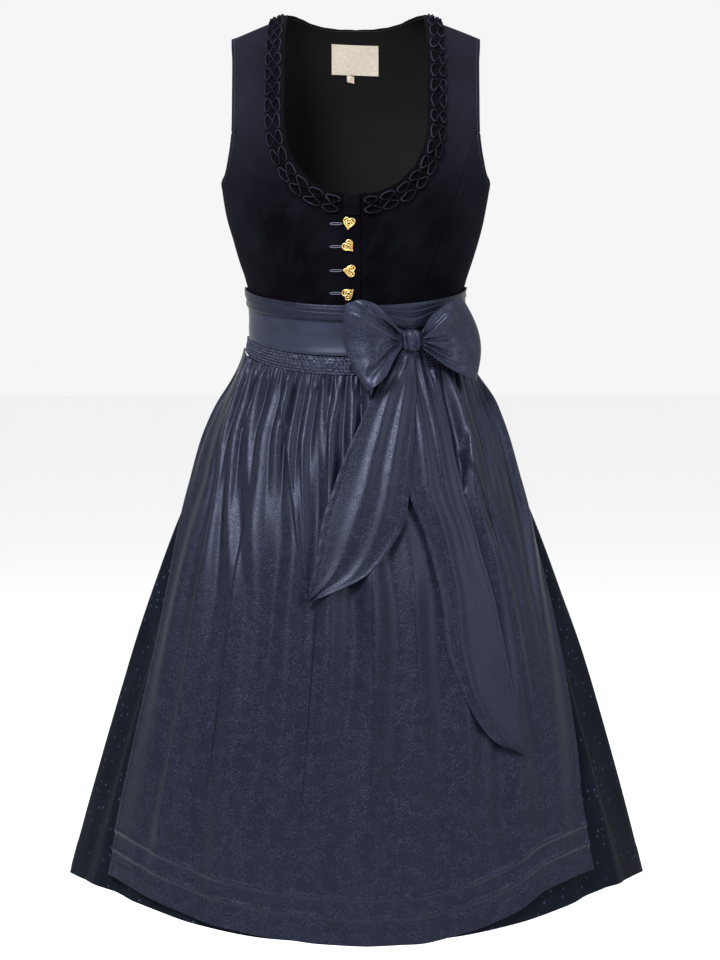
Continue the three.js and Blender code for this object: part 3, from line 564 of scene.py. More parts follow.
class Recipe:
    """The nodes of one material."""

    def __init__(self, name: str) -> None:
        """Starts a material with one shader.

        Args:
            name: its name.
        """
        self.material = bpy.data.materials.new(name)
        self.material.use_nodes = True
        self.tree = self.material.node_tree
        self.shader = self.tree.nodes["Principled BSDF"]

    def node(
        self,
        kind: str,
        settings: dict[str, Any] | None = None,
        inputs: dict[str | int, Any] | None = None,
        output: str | int = 0,
    ) -> Signal:
        """Adds one node.

        Args:
            kind: the node's type.
            settings: its own settings, which are set first.
            inputs: a value or a signal for each socket, by name or place.
            output: the output that the result stands for.

        Returns:
            The output as a signal.
        """
        node = self.tree.nodes.new(kind)
        for name, value in (settings or {}).items():
            setattr(node, name, value)
        for name, value in (inputs or {}).items():
            self.feed(node.inputs[name], value)
        return Signal(self, node.outputs[output])

    def feed(self, socket: bpy.types.NodeSocket, value: Any) -> None:
        """Links a signal to a socket, or sets its value.

        Args:
            socket: the input socket.
            value: a signal, or an even value.
        """
        if isinstance(value, Signal):
            self.tree.links.new(value.socket, socket)
        else:
            socket.default_value = value

    def surface(self, **values: Any) -> None:
        """Feeds the shader's sockets, named with underscores for spaces."""
        for name, value in values.items():
            self.feed(self.shader.inputs[name.replace("_", " ").title()], value)

    def cloth(self, across: float = 1, along: float = 1) -> Signal:
        """Places on the flat cloth.

        Args:
            across: scale across the cloth.
            along: scale along it.

        Returns:
            Places in mm, scaled.
        """
        place = self.node("ShaderNodeUVMap", {"uv_map": UV_NAME})
        return self.scaled(place, (across / MM, along / MM, 1 / MM))

    def axis(self, name: str) -> Signal:
        """One coordinate, X, Y or Z, in the frame of the dress and in metres."""
        place = self.node("ShaderNodeTexCoord", {}, {}, "Object")
        return self.node("ShaderNodeSeparateXYZ", {}, {0: place}, name)

    def scaled(self, place: Signal, scale: tuple[float, float, float]) -> Signal:
        """A place with each coordinate multiplied by its own number."""
        return self.node("ShaderNodeVectorMath", {"operation": "MULTIPLY"}, {0: place, 1: scale})

    def noise(self, place: Signal, scale: float, detail: float = 2, rough: float = 0.5) -> Signal:
        """Soft noise from about 0 to 1."""
        values = {"Vector": place, "Scale": scale, "Detail": detail, "Roughness": rough}
        return self.node("ShaderNodeTexNoise", {}, values)

    def spots(
        self, place: Signal, scale: float, stray: float = 1.0, measure: str = "EUCLIDEAN"
    ) -> Signal:
        """Distance from scattered spots.

        Args:
            place: where it is measured.
            scale: spots a unit.
            stray: how far they stray from even rows, 0 to 1.
            measure: how the distance is measured.

        Returns:
            The distance, in units.
        """
        values = {"Vector": place, "Scale": scale, "Randomness": stray}
        settings = {"feature": "F1", "distance": measure}
        return self.node("ShaderNodeTexVoronoi", settings, values)

    def blend(self, factor: Signal, a: Sequence[float], b: Sequence[float]) -> Signal:
        """Paint a where the factor is 0 and paint b where it is 1."""
        inputs = {0: factor, 6: paint(*a), 7: paint(*b)}
        return self.node("ShaderNodeMix", {"data_type": "RGBA"}, inputs, output=2)

    def bump(self, height: Signal, depth: float) -> Signal:
        """A normal from a height of 0 to 1 that stands depth millimetres high."""
        values = {"Height": height, "Distance": depth * MM, "Strength": 1.0}
        return self.node("ShaderNodeBump", {}, values)


@dataclass(frozen=True)
class Finish:
    """One finish.

    Attributes:
        name: its material's name.
        slot: the record's slot that it would fill; not used.
        even: the even values of its shader's sockets.
    """

    name: str
    slot: str
    even: tuple[tuple[str, Any], ...] = ()

    def material(self) -> bpy.types.Material:
        """Makes the material the first time that it is asked for.

        Returns:
            The material.
        """
        found = bpy.data.materials.get(self.name)
        if found:
            return found
        recipe = Recipe(self.name)
        for name, value in self.even:
            recipe.shader.inputs[name].default_value = value
        self.dress(recipe)
        return recipe.material

    def dress(self, recipe: Recipe) -> None:
        """Adds what varies over the surface."""


@dataclass(frozen=True)
class Velvet(Finish):
    """Cotton velvet, with painted light: its colour is lighter towards the top and the sides.

    Attributes:
        deep: its colour where no painted light is added, as at the lower front.
        lit: its painted lit colour, towards the top and the sides.
        painted_light_share: share of the painted lit colour that shows everywhere.
        rise: from which height to which the painted top light grows, in metres.
        turn: how far off the centre line the painted side light grows, in metres.
    """

    deep: Triple = (1, 1, 3)
    lit: Triple = (25, 25, 34)
    painted_light_share: float = 0.0
    rise: tuple[float, float] = (-0.255, -0.10)
    turn: tuple[float, float] = (0.085, 0.15)

    def dress(self, recipe: Recipe) -> None:
        """Painted light towards the top and the sides, faint crush marks, and the pile itself.

        Args:
            recipe: the nodes of its material.
        """
        slanted = recipe.node(
            "ShaderNodeVectorRotate", {"rotation_type": "Z_AXIS"}, {0: recipe.cloth(), "Angle": 0.6}
        )
        crush = recipe.noise(recipe.scaled(slanted, (0.055, 0.016, 1.0)), 1.0, 4, 0.55)
        crushed = crush.step(0.46, 0.72)
        cloud = recipe.noise(recipe.cloth(), 0.012, 2).step(0.35, 0.7)
        pile = recipe.noise(recipe.cloth(), 1.7, 3, 0.7)
        # Painted light: lighter towards the top (from the height) and towards the sides (off the
        # centre line).
        painted_top_light = recipe.axis("Z").step(*self.rise)
        aside = recipe.axis("X").absolute().step(*self.turn)
        # lean mixes the painted top and side light with the real crush marks and tone.
        lean = (painted_top_light * 0.4 + aside * 0.2 + crushed * 0.1 + cloud * 0.14) * (0.55 + pile * 0.9)
        recipe.surface(
            base_color=recipe.blend(lean + self.painted_light_share, self.deep, self.lit),
            roughness=0.78 + pile * 0.2,
            normal=recipe.bump(pile + crushed * 0.4, 0.35),
        )


@dataclass(frozen=True)
class Jacquard(Finish):
    """Satin with a small curling figure woven in its own colour.

    Attributes:
        ground: colour of the ground.
        figure: colour of the figure.
        curl: how small the scrolls are, in turns a millimetre.
    """

    ground: Triple = (10, 12, 21)
    figure: Triple = (21, 24, 37)
    curl: float = 0.15

    def dress(self, recipe: Recipe) -> None:
        """The scrolls, the sprays that they gather in, and the satin's yarns.

        Args:
            recipe: the nodes of its material.
        """
        place = recipe.cloth()
        flow = recipe.noise(place, self.curl, 1.5, 0.4)
        scroll = (flow * 38.0).sine().step(-0.1, 0.8)
        sprays = recipe.noise(place, self.curl * 0.45, 2).step(0.44, 0.58)
        dots = recipe.spots(place, self.curl * 3.2).step(0.42, 0.2)
        figure = (scroll * (0.4 + sprays * 0.6) + dots * (0.3 - sprays * 0.3)).step(0.05, 1.0)
        tone = recipe.noise(place, 0.02, 2)
        yarn = recipe.node(
            "ShaderNodeTexWave",
            {"wave_type": "BANDS", "bands_direction": "DIAGONAL"},
            {"Vector": place, "Scale": 0.9, "Distortion": 0.4},
        )
        shade = (figure * 0.7 + tone * 0.4 + yarn * 0.08).step(0.05, 1.15)
        recipe.surface(
            base_color=recipe.blend(shade, self.ground, self.figure),
            roughness=0.31 + figure * 0.16 + yarn * 0.04,
            normal=recipe.bump(figure * 0.7 + yarn * 0.12, 0.16),
        )


@dataclass(frozen=True)
class Satin(Finish):
    """Plain satin.

    Attributes:
        colour: its colour.
        lift: how much lighter its light yarns are.
    """

    colour: Triple = (23, 26, 36)
    lift: float = 1.35

    def dress(self, recipe: Recipe) -> None:
        """Fine yarns and slubs.

        Args:
            recipe: the nodes of its material.
        """
        slub = recipe.noise(recipe.cloth(0.12, 1.6), 1.0, 3, 0.6)
        cloud = recipe.noise(recipe.cloth(), 0.05, 2)
        shade = (slub * 0.5 + cloud * 0.5).step(0.3, 0.75)
        recipe.surface(
            base_color=recipe.blend(shade, self.colour, [round(c * self.lift) for c in self.colour]),
            roughness=0.3 + slub * 0.12,
            normal=recipe.bump(slub, 0.08),
        )


@dataclass(frozen=True)
class SkirtCloth(Finish):
    """Half-matt skirt cloth with small lighter specks woven in.

    Attributes:
        ground: colour of the ground.
        speck: colour of the specks.
        pitch: from speck to speck, in mm.
    """

    ground: Triple = (7, 10, 17)
    speck: Triple = (36, 45, 62)
    pitch: float = 9.5

    def dress(self, recipe: Recipe) -> None:
        """Specks in loose rows, and the weave.

        Args:
            recipe: the nodes of its material.
        """
        place = recipe.cloth()
        spots = recipe.spots(place, 1 / self.pitch, 0.42, "MANHATTAN").step(0.3, 0.12)
        weave = recipe.noise(recipe.cloth(1.0, 2.2), 1.1, 3, 0.6)
        cloud = recipe.noise(place, 0.018, 3)
        shade = (spots * 0.5 + weave * 0.22 + cloud * 0.3).step(0.2, 0.95)
        recipe.surface(
            base_color=recipe.blend(shade, self.ground, self.speck),
            roughness=0.62 - spots * 0.12 + weave * 0.1,
            normal=recipe.bump(weave * 0.6 + spots * 0.4, 0.14),
        )


@dataclass(frozen=True)
class Plainweave(Finish):
    """Plain woven cloth or tape.

    Attributes:
        colour: its middle colour.
        yarn: yarns a millimetre.
        contrast: how far its yarns are lighter or darker than that.
    """

    colour: Triple = (19, 19, 20)
    yarn: float = 1.6
    contrast: float = 0.22

    def dress(self, recipe: Recipe) -> None:
        """Yarns both ways, and soft unevenness.

        Args:
            recipe: the nodes of its material.
        """
        across = recipe.noise(recipe.cloth(0.15 * self.yarn, self.yarn), 1.0, 2)
        along = recipe.noise(recipe.cloth(self.yarn, 0.15 * self.yarn), 1.0, 2)
        weave = (across + along) * 0.5
        dark = [c * (1 - self.contrast) for c in self.colour]
        light = [c * (1 + self.contrast) for c in self.colour]
        recipe.surface(
            base_color=recipe.blend(weave.step(0.35, 0.65), dark, light),
            roughness=0.6 + weave * 0.25,
            normal=recipe.bump(weave, 0.15),
        )


@dataclass(frozen=True)
class Brass(Finish):
    """Polished brass, a little worn in its hollows.

    Attributes:
        colour: its polished colour.
        tarnished: its colour in the hollows.
    """

    colour: Triple = (198, 168, 106)
    tarnished: Triple = (140, 108, 60)

    def dress(self, recipe: Recipe) -> None:
        """Tarnish and fine scratches.

        Args:
            recipe: the nodes of its material.
        """
        tarnish = recipe.noise(recipe.cloth(), 0.6, 3).step(0.45, 0.75)
        scratch = recipe.noise(recipe.cloth(4, 0.5), 1.0, 3)
        recipe.surface(
            base_color=recipe.blend(tarnish, self.colour, self.tarnished),
            roughness=0.2 + tarnish * 0.22 + scratch * 0.08,
            normal=recipe.bump(scratch, 0.05),
        )


def mirror(level: float) -> tuple[str, float]:
    """How much a cloth mirrors; 0.5 is as much as a plain surface."""
    return ("Specular IOR Level", level)


SHEEN = (("Sheen Weight", 0.01), ("Sheen Roughness", 0.35), ("Sheen Tint", paint(150, 152, 190)))
PILE = (*SHEEN, mirror(0.02))
GLEAM = ("Specular Tint", paint(200, 208, 245))
VELVET = Velvet("velvet_plain", "velvet", PILE)
# A darker copy of the velvet for the ruche's body: painted shade, with the painted top and side light
# still on it.
RUCHED_PAINTED_SHADE = Velvet("velvet_ruched_painted_shade", "velvet", PILE, (2, 2, 3), (12, 12, 17))
# A lighter copy of the velvet for the ruche's rims: painted highlight.
VELVET_PAINTED_HIGHLIGHT = Velvet("velvet_painted_highlight", "velvet", PILE, lit=(34, 34, 46), painted_light_share=0.85)
JACQUARD = Jacquard("apron_jacquard_scroll", "apron_jacquard", (mirror(0.19), GLEAM))
# A lighter, glossier copy of the apron jacquard for the smocked band: painted light.
SHIRRED_PAINTED_LIGHT = Jacquard(
    "apron_jacquard_shirred", "apron_jacquard", (mirror(0.42), GLEAM), (16, 18, 28), (34, 37, 54)
)
# A lighter, glossier copy of the apron jacquard for the bow: painted light where it faces up.
TIED_PAINTED_LIGHT = Jacquard(
    "apron_jacquard_tied", "apron_jacquard", (mirror(0.27), GLEAM), (13, 15, 25), (27, 30, 46)
)
SATIN = Satin("satin_plain", "plain_satin", (mirror(0.22), GLEAM))
SKIRT_CLOTH = SkirtCloth("skirt_specked", "skirt_cloth", (mirror(0.03),))
LINING = Plainweave("lining_cotton", "lining", (mirror(0.05),), (11, 11, 11))
TAPE = Plainweave("tape_woven", "label_tape", (mirror(0.1),), (160, 152, 141), 1.4, 0.08)
THREAD = Plainweave("buttonhole_thread", "plain_satin", (), (58, 62, 78), 3.0)
DARK_THREAD = Plainweave("velvet_thread", "velvet", (), (26, 28, 40), 3.0)
BRASS = Brass("brass_pressed", "gold_metal", (("Metallic", 1.0),))


# --- bodice
class Side(Enum):
    """The wearer's right or left; the value is the sign of X."""

    RIGHT = -1
    LEFT = 1


FIGURE = Figure()
SEAM = 0.2
WAIST = -372.0
VELVET_WALL = 1.8
SEAM_GAP = 0.3
ARMHOLE = Table(
    "h x",
    [
        (-197, 160), (-178, 153), (-160, 148.5), (-140, 145.8), (-110, 145), (-70, 145),
        (-20, 147), (20, 148),
    ],
)
PRINCESS = Table(
    "h x",
    [
        (-372, 76), (-331, 78.5), (-300, 87), (-270, 97), (-246, 105), (-212, 117),
        (-178, 127), (-140, 139.6),
    ],
)
BACK_SEAM = Table(
    "h x", [(-372, 66), (-318, 70), (-264, 84), (-212, 104), (-168, 124), (-135, 140)]
)
NECK_CURVE = [(0, -211), (24.7, -209), (48.8, -198.4), (67.5, -179), (78, -157.5), (82.5, -134)]
BACK_NECK = [(0, -41), (20, -39), (40, -32), (55, -22), (68, -5), (76, 10), (80, 20)]
BACK_NECKLINE = Table("x h", BACK_NECK)
STRAP_HEIGHTS = (-126, -105, -80, -55, -30, -5, 20)


def strap_x(h: Reals) -> Array:
    """Inner edge of the strap, which closes in a little towards the neck point."""
    return mix(83, FIGURE.neck_x, smooth(-75, FIGURE.top, h))


def overlap_rise(x: Reals) -> Array:
    """How far the front on top rides over the one below it."""
    return (VELVET_WALL + SEAM_GAP) * smooth(-66, -38, x)


def closure_rise(phi: Array) -> Array:
    """Rise of a band over the closure's extra layer.

    Args:
        phi: angles in radians.

    Returns:
        The rise in mm.
    """
    x = FIGURE.half(WAIST) * np.sin(phi)
    over = smooth(-88, -60, x) - smooth(22, 50, x)
    return np.where(np.cos(phi) < 0, 0, (VELVET_WALL + SEAM_GAP) * over)


def edge_spaced(count: int, edge: float = 0.02) -> Array:
    """Places from 0 to 1 that lie closer together near both ends."""
    near = np.array([0, 0.12, 0.3, 0.55, 0.8]) * edge
    return np.concatenate([near, np.linspace(edge, 1 - edge, count - 10), 1 - near[::-1]])


def rolled(u: Array, edge: float = 0.02, depth: float = 0.9) -> Array:
    """How far a sewn edge rolls in, from depth at both ends to nothing inside."""
    away = np.clip(np.minimum(u, 1 - u) / edge, 0, 1)
    return -depth * (1 - away) ** 2


def sew(maker: Maker, line: Array, length: float, gap: float, radius: float) -> None:
    """Adds a row of short stitches along a line.

    Args:
        maker: collects them.
        line: the line's points in mm.
        length: length of a stitch in mm.
        gap: from stitch to stitch in mm.
        radius: the thread's radius in mm.
    """
    run = lengths(line)
    for start in np.arange(0, run[-1] - length, length + gap):
        at = start + length * np.array([0, 0.3, 0.7, 1])
        dash = np.stack([np.interp(at, run, line[:, k]) for k in range(3)], axis=-1)
        maker.tube(dash, radius * np.array([0.45, 1, 1, 0.45]), 5)


@dataclass
class Bodice:
    """The velvet bodice of seven panels, its back lining and its top stitching; sizes in mm.

    Attributes:
        rows: rows of a panel's grid.
        columns: columns of a panel's grid.
        overlap: how far the front on top passes the centre line.
        underlap: the same for the front below it, which lies under the first.
        tuck: running height that the side panels reach under the fronts and the back.
        allowance: width of the seam allowance that lies under a neighbour.
        sunk: how far under its neighbour it lies, wall and gap together.
        taper: running height from which the back's rows bend towards its neckline.
        lining_foot: running height of the lining's lower edge.
        stitch_in: how far inside the armhole the top stitching runs.
        stitch: length of a stitch.
        stitch_gap: from stitch to stitch.
        stitch_radius: radius of its thread.
    """

    rows: int = 110
    columns: int = 44
    overlap: float = 5.6
    underlap: float = -18
    tuck: float = -129
    allowance: float = 1.6
    sunk: float = VELVET_WALL + 0.1
    taper: float = -199
    lining_foot: float = -234
    stitch_in: float = 4.0
    stitch: float = 2.3
    stitch_gap: float = 1.1
    stitch_radius: float = 0.32

    def unevenness(self, phi: Array, h: Array) -> Array:
        """Soft drag lines of worn velvet, in mm."""
        slack = np.sin(phi * 9 + h * 0.045) * 0.35 + np.sin(h * 0.11 - phi * 5) * 0.2
        return slack - 0.25

    def front_edges(self, centre: float) -> Table:
        """Where the rows of a front begin and end, from the waist to past the shoulder seam.

        Args:
            centre: how far off the centre line its closing edge lies, in mm.

        Returns:
            Distances off the centre line and running heights of the inner and the outer ends.
        """
        def beyond(h: float) -> tuple[float, float]:
            """The armhole at a running height."""
            return float(ARMHOLE.read("x", h)), h

        low = (-372, -340, -308, -280, -256, -234, -213)
        curve = (-199, -184, -170, -155, -140)
        rows = [(centre, h, float(PRINCESS.read("x", h)), h) for h in low]
        rows += [(*neck, float(PRINCESS.read("x", h)), h) for neck, h in zip(NECK_CURVE[1:], curve)]
        rows += [(82.7, -131, 139.6, -136), (82.75, -130.5, *beyond(-135.5))]
        strap = (*STRAP_HEIGHTS, FIGURE.top + self.allowance)
        rows += [(float(strap_x(h)), h, *beyond(h)) for h in strap]
        return Table("row ix ih ox oh", [(k, *row) for k, row in enumerate(rows)])

    def front(self, side: Side, centre: float) -> None:
        """A front, from the waist to the shoulder seam, between the closure and the seam.

        Args:
            side: the wearer's side.
            centre: how far off the centre line its closing edge lies, in mm.
        """
        edges = self.front_edges(centre)
        v = edge_spaced(self.rows, 0.008) * edges.keys[-1]
        u = edge_spaced(self.columns)
        ix, ih, ox, oh = (edges.read(name, v)[:, None] for name in ("ix", "ih", "ox", "oh"))
        seam = np.where(oh <= -135.9, SEAM, 0)
        phi = mix(FIGURE.angle_of(ix, ih), FIGURE.angle_of(ox - seam, oh), u)
        h = mix(ih, oh, u)
        if side is Side.RIGHT:
            phi, h = -phi[:, ::-1], h[:, ::-1]
        rise = overlap_rise(FIGURE.half(h) * np.sin(phi)) if side is Side.RIGHT else 0
        roll = rolled(u)[None, ::side.value] + rolled(v[:, None] / v[-1], 0.008)
        out = rise + roll + self.unevenness(phi, h) * smooth(0, 0.1, np.minimum(u, 1 - u))
        under = self.sunk * smooth(FIGURE.top - 0.3, FIGURE.top + 0.3, h)
        points = FIGURE.lifted(phi, h, np.minimum(out, rise + 0.4) - under)
        name = f"bodice_front_{side.name.lower()}"
        piece = Maker(name).wall(points, VELVET_WALL - 0.5).build(VELVET, [name])

    def side(self, side: Side, seam: Table, back: bool) -> None:
        """A side panel, from a shaping seam to the side seam and up to the armhole.

        Args:
            side: the wearer's side.
            seam: the shaping seam.
            back: whether it belongs to the back.
        """
        low = (-372, -340, -308, -280, -256, -234, -213, -199)
        high = (-184, -170, -155, -140, self.tuck)
        beyond = -SEAM if back else self.allowance
        rows = [(h, math.pi / 2 + beyond / float(FIGURE.half(h))) for h in low]
        rows += [(h, float(FIGURE.angle_of(ARMHOLE.read("x", h), h))) for h in high]
        v, u = edge_spaced(self.rows * 2 // 3, 0.01), edge_spaced(self.columns - 8, 0.03)
        h = mix(WAIST, self.tuck, v)[:, None]
        inner = FIGURE.angle_of(seam.read("x", h) - self.allowance, h)
        local = mix(inner, Table("h edge", rows).read("edge", h), u)
        past = (local - math.pi / 2) * FIGURE.half(h)
        before = FIGURE.half(h) * np.sin(local) - seam.read("x", h)
        hidden = np.maximum(smooth(-137.5, -135, h), 0 if back else smooth(-0.3, 0.3, past))
        under = self.sunk * np.maximum(hidden, smooth(0.5, -0.1, before))
        phi = side.value * (math.pi - local if back else local)
        if phi[0, 1] < phi[0, 0]:
            phi, under = phi[:, ::-1], under[:, ::-1]
        roll = rolled(u, 0.03)[None, :] + rolled(v[:, None], 0.01)
        out = np.minimum(roll + self.unevenness(phi, h) * 0.8, 0.3) - under
        word, other = ("back", "front") if back else ("front", "back")
        name = f"bodice_side_{word}_{side.name.lower()}"
        maker = Maker(name).wall(FIGURE.lifted(phi, h, out), VELVET_WALL - 0.5)
        maker.build(VELVET, [name])

    def back_layer(
        self, name: str, foot: float, out: float, thickness: float, finish: Finish
    ) -> Piece:
        """A layer of the centre back, up to the shoulders and the back neckline.

        Args:
            name: its node.
            foot: running height of its lower edge.
            out: how far its face stands out from the figure, in mm.
            thickness: its thickness in mm.
            finish: its finish.

        Returns:
            The layer.
        """
        v, u = edge_spaced(self.rows, 0.008), edge_spaced(self.columns * 2, 0.012)
        row = mix(foot, FIGURE.top, v)[:, None]
        share = mix(1, -1, u)[None, :]
        top_x = np.abs(share) * 148
        top = np.where(top_x >= FIGURE.neck_x, FIGURE.top, BACK_NECKLINE.read("h", top_x))
        bend = np.clip((row - self.taper) / (FIGURE.top - self.taper), 0, 1)
        h = row - (FIGURE.top - top) * bend
        edge = np.where(row <= -135, BACK_SEAM.read("x", row) - SEAM, ARMHOLE.read("x", row))
        phi = FIGURE.angle_of(share * edge, row, back=True)
        roll = rolled(u, 0.012)[None, :] + rolled(v[:, None], 0.008)
        outside = finish is VELVET
        slack = self.unevenness(phi, h) if outside else self.facing(h, phi)
        lifted = out + np.minimum(roll * (1 if outside else 0.2) + slack, 0.2)
        points = FIGURE.lifted(phi, np.minimum(h, FIGURE.top - SEAM), lifted)
        return Maker(name).wall(points, thickness).build(finish, [name])

    def facing(self, h: Array, phi: Array) -> Array:
        """The lining's puckers, and the lower edge of the facing band sewn over it.

        Args:
            h: running heights.
            phi: angles in radians.

        Returns:
            How far they stand out, in mm.
        """
        x = FIGURE.half(h) * np.sin(phi)
        edge = BACK_NECKLINE.read("h", np.abs(x)) - 13
        band = smooth(edge - 0.6, edge + 0.4, h)
        pucker = np.sin(x * 0.42 + np.sin(h * 0.09) * 1.5) * np.exp(-(((h - edge + 7) / 9) ** 2))
        return -0.75 + 0.35 * band + 0.3 * pucker

    def stitches(self) -> None:
        """Top stitching round the armholes."""
        maker = Maker("bodice_stitching")
        for side in Side:
            for back in (False, True):
                h = np.linspace(ARMHOLE.keys[0] + self.stitch_in, FIGURE.top - 2, 240)
                phi = FIGURE.angle_of(ARMHOLE.read("x", h) - self.stitch_in, h, back)
                line = FIGURE.lifted(side.value * phi, h, 0.35)
                sew(maker, line, self.stitch, self.stitch_gap, self.stitch_radius)
        maker.build(DARK_THREAD)

    def build(self) -> None:
        """Makes every panel."""
        self.front(Side.RIGHT, -self.overlap)
        self.front(Side.LEFT, self.underlap)
        for side in Side:
            self.side(side, PRINCESS, False)
            self.side(side, BACK_SEAM, True)
        back = self.back_layer("bodice_back", WAIST, 0, VELVET_WALL - 0.4, VELVET)
        inside = -(VELVET_WALL + SEAM_GAP) - 0.1
        lining = self.back_layer("lining_back", self.lining_foot, inside, 0.9, LINING)
        self.stitches()


@dataclass
class Labels:
    """The bare neck label and size tab, sewn to the lining with slack; sizes in mm.

    Attributes:
        thickness: thickness of the tape.
        tilt: how much lower the tags hang at one side.
        gap: from the lining's face to the tape.
    """

    thickness: float = 0.7
    tilt: float = 2
    gap: float = 1.3

    def tag(self, name: str, box: tuple[float, float, float, float], slack: float) -> Piece:
        """A tag inside the back.

        Args:
            name: its node.
            box: left, right, top and foot in mm.
            slack: how far it stands off the lining, in mm.

        Returns:
            The tag.
        """
        left, right, top, foot = box
        v, u = np.linspace(0, 1, 22)[:, None], np.linspace(0, 1, 34)[None, :]
        x = mix(right, left, u)
        z = mix(foot, top, v) - self.tilt * x / (right - left)
        rise = (z - FIGURE.knee) / (FIGURE.crown(x) - FIGURE.knee)
        turn = np.arcsin(mix(math.sin(FIGURE.lean), 1, rise))
        h = FIGURE.knee + FIGURE.arc * (turn - FIGURE.lean) / (math.pi / 2 - FIGURE.lean)
        folded = 0.35 * np.exp(-(((u - 0.5) ** 2 - 0.25) ** 2) / 0.001)
        wave = 0.3 * np.sin(u * 5 + v * 3) - folded - 0.3
        out = -(VELVET_WALL + SEAM_GAP) - self.gap - slack + wave
        points = FIGURE.lifted(FIGURE.angle_of(x, FIGURE.knee, back=True), h, out)
        return Maker(name).wall(points, self.thickness).build(TAPE, [name])

    def build(self) -> None:
        """Makes both tags."""
        label = self.tag("neck_label", (-30, 28, -20, -55), 0.6)
        tab = self.tag("size_tab", (-11, -2, -57, -65), 0.9)


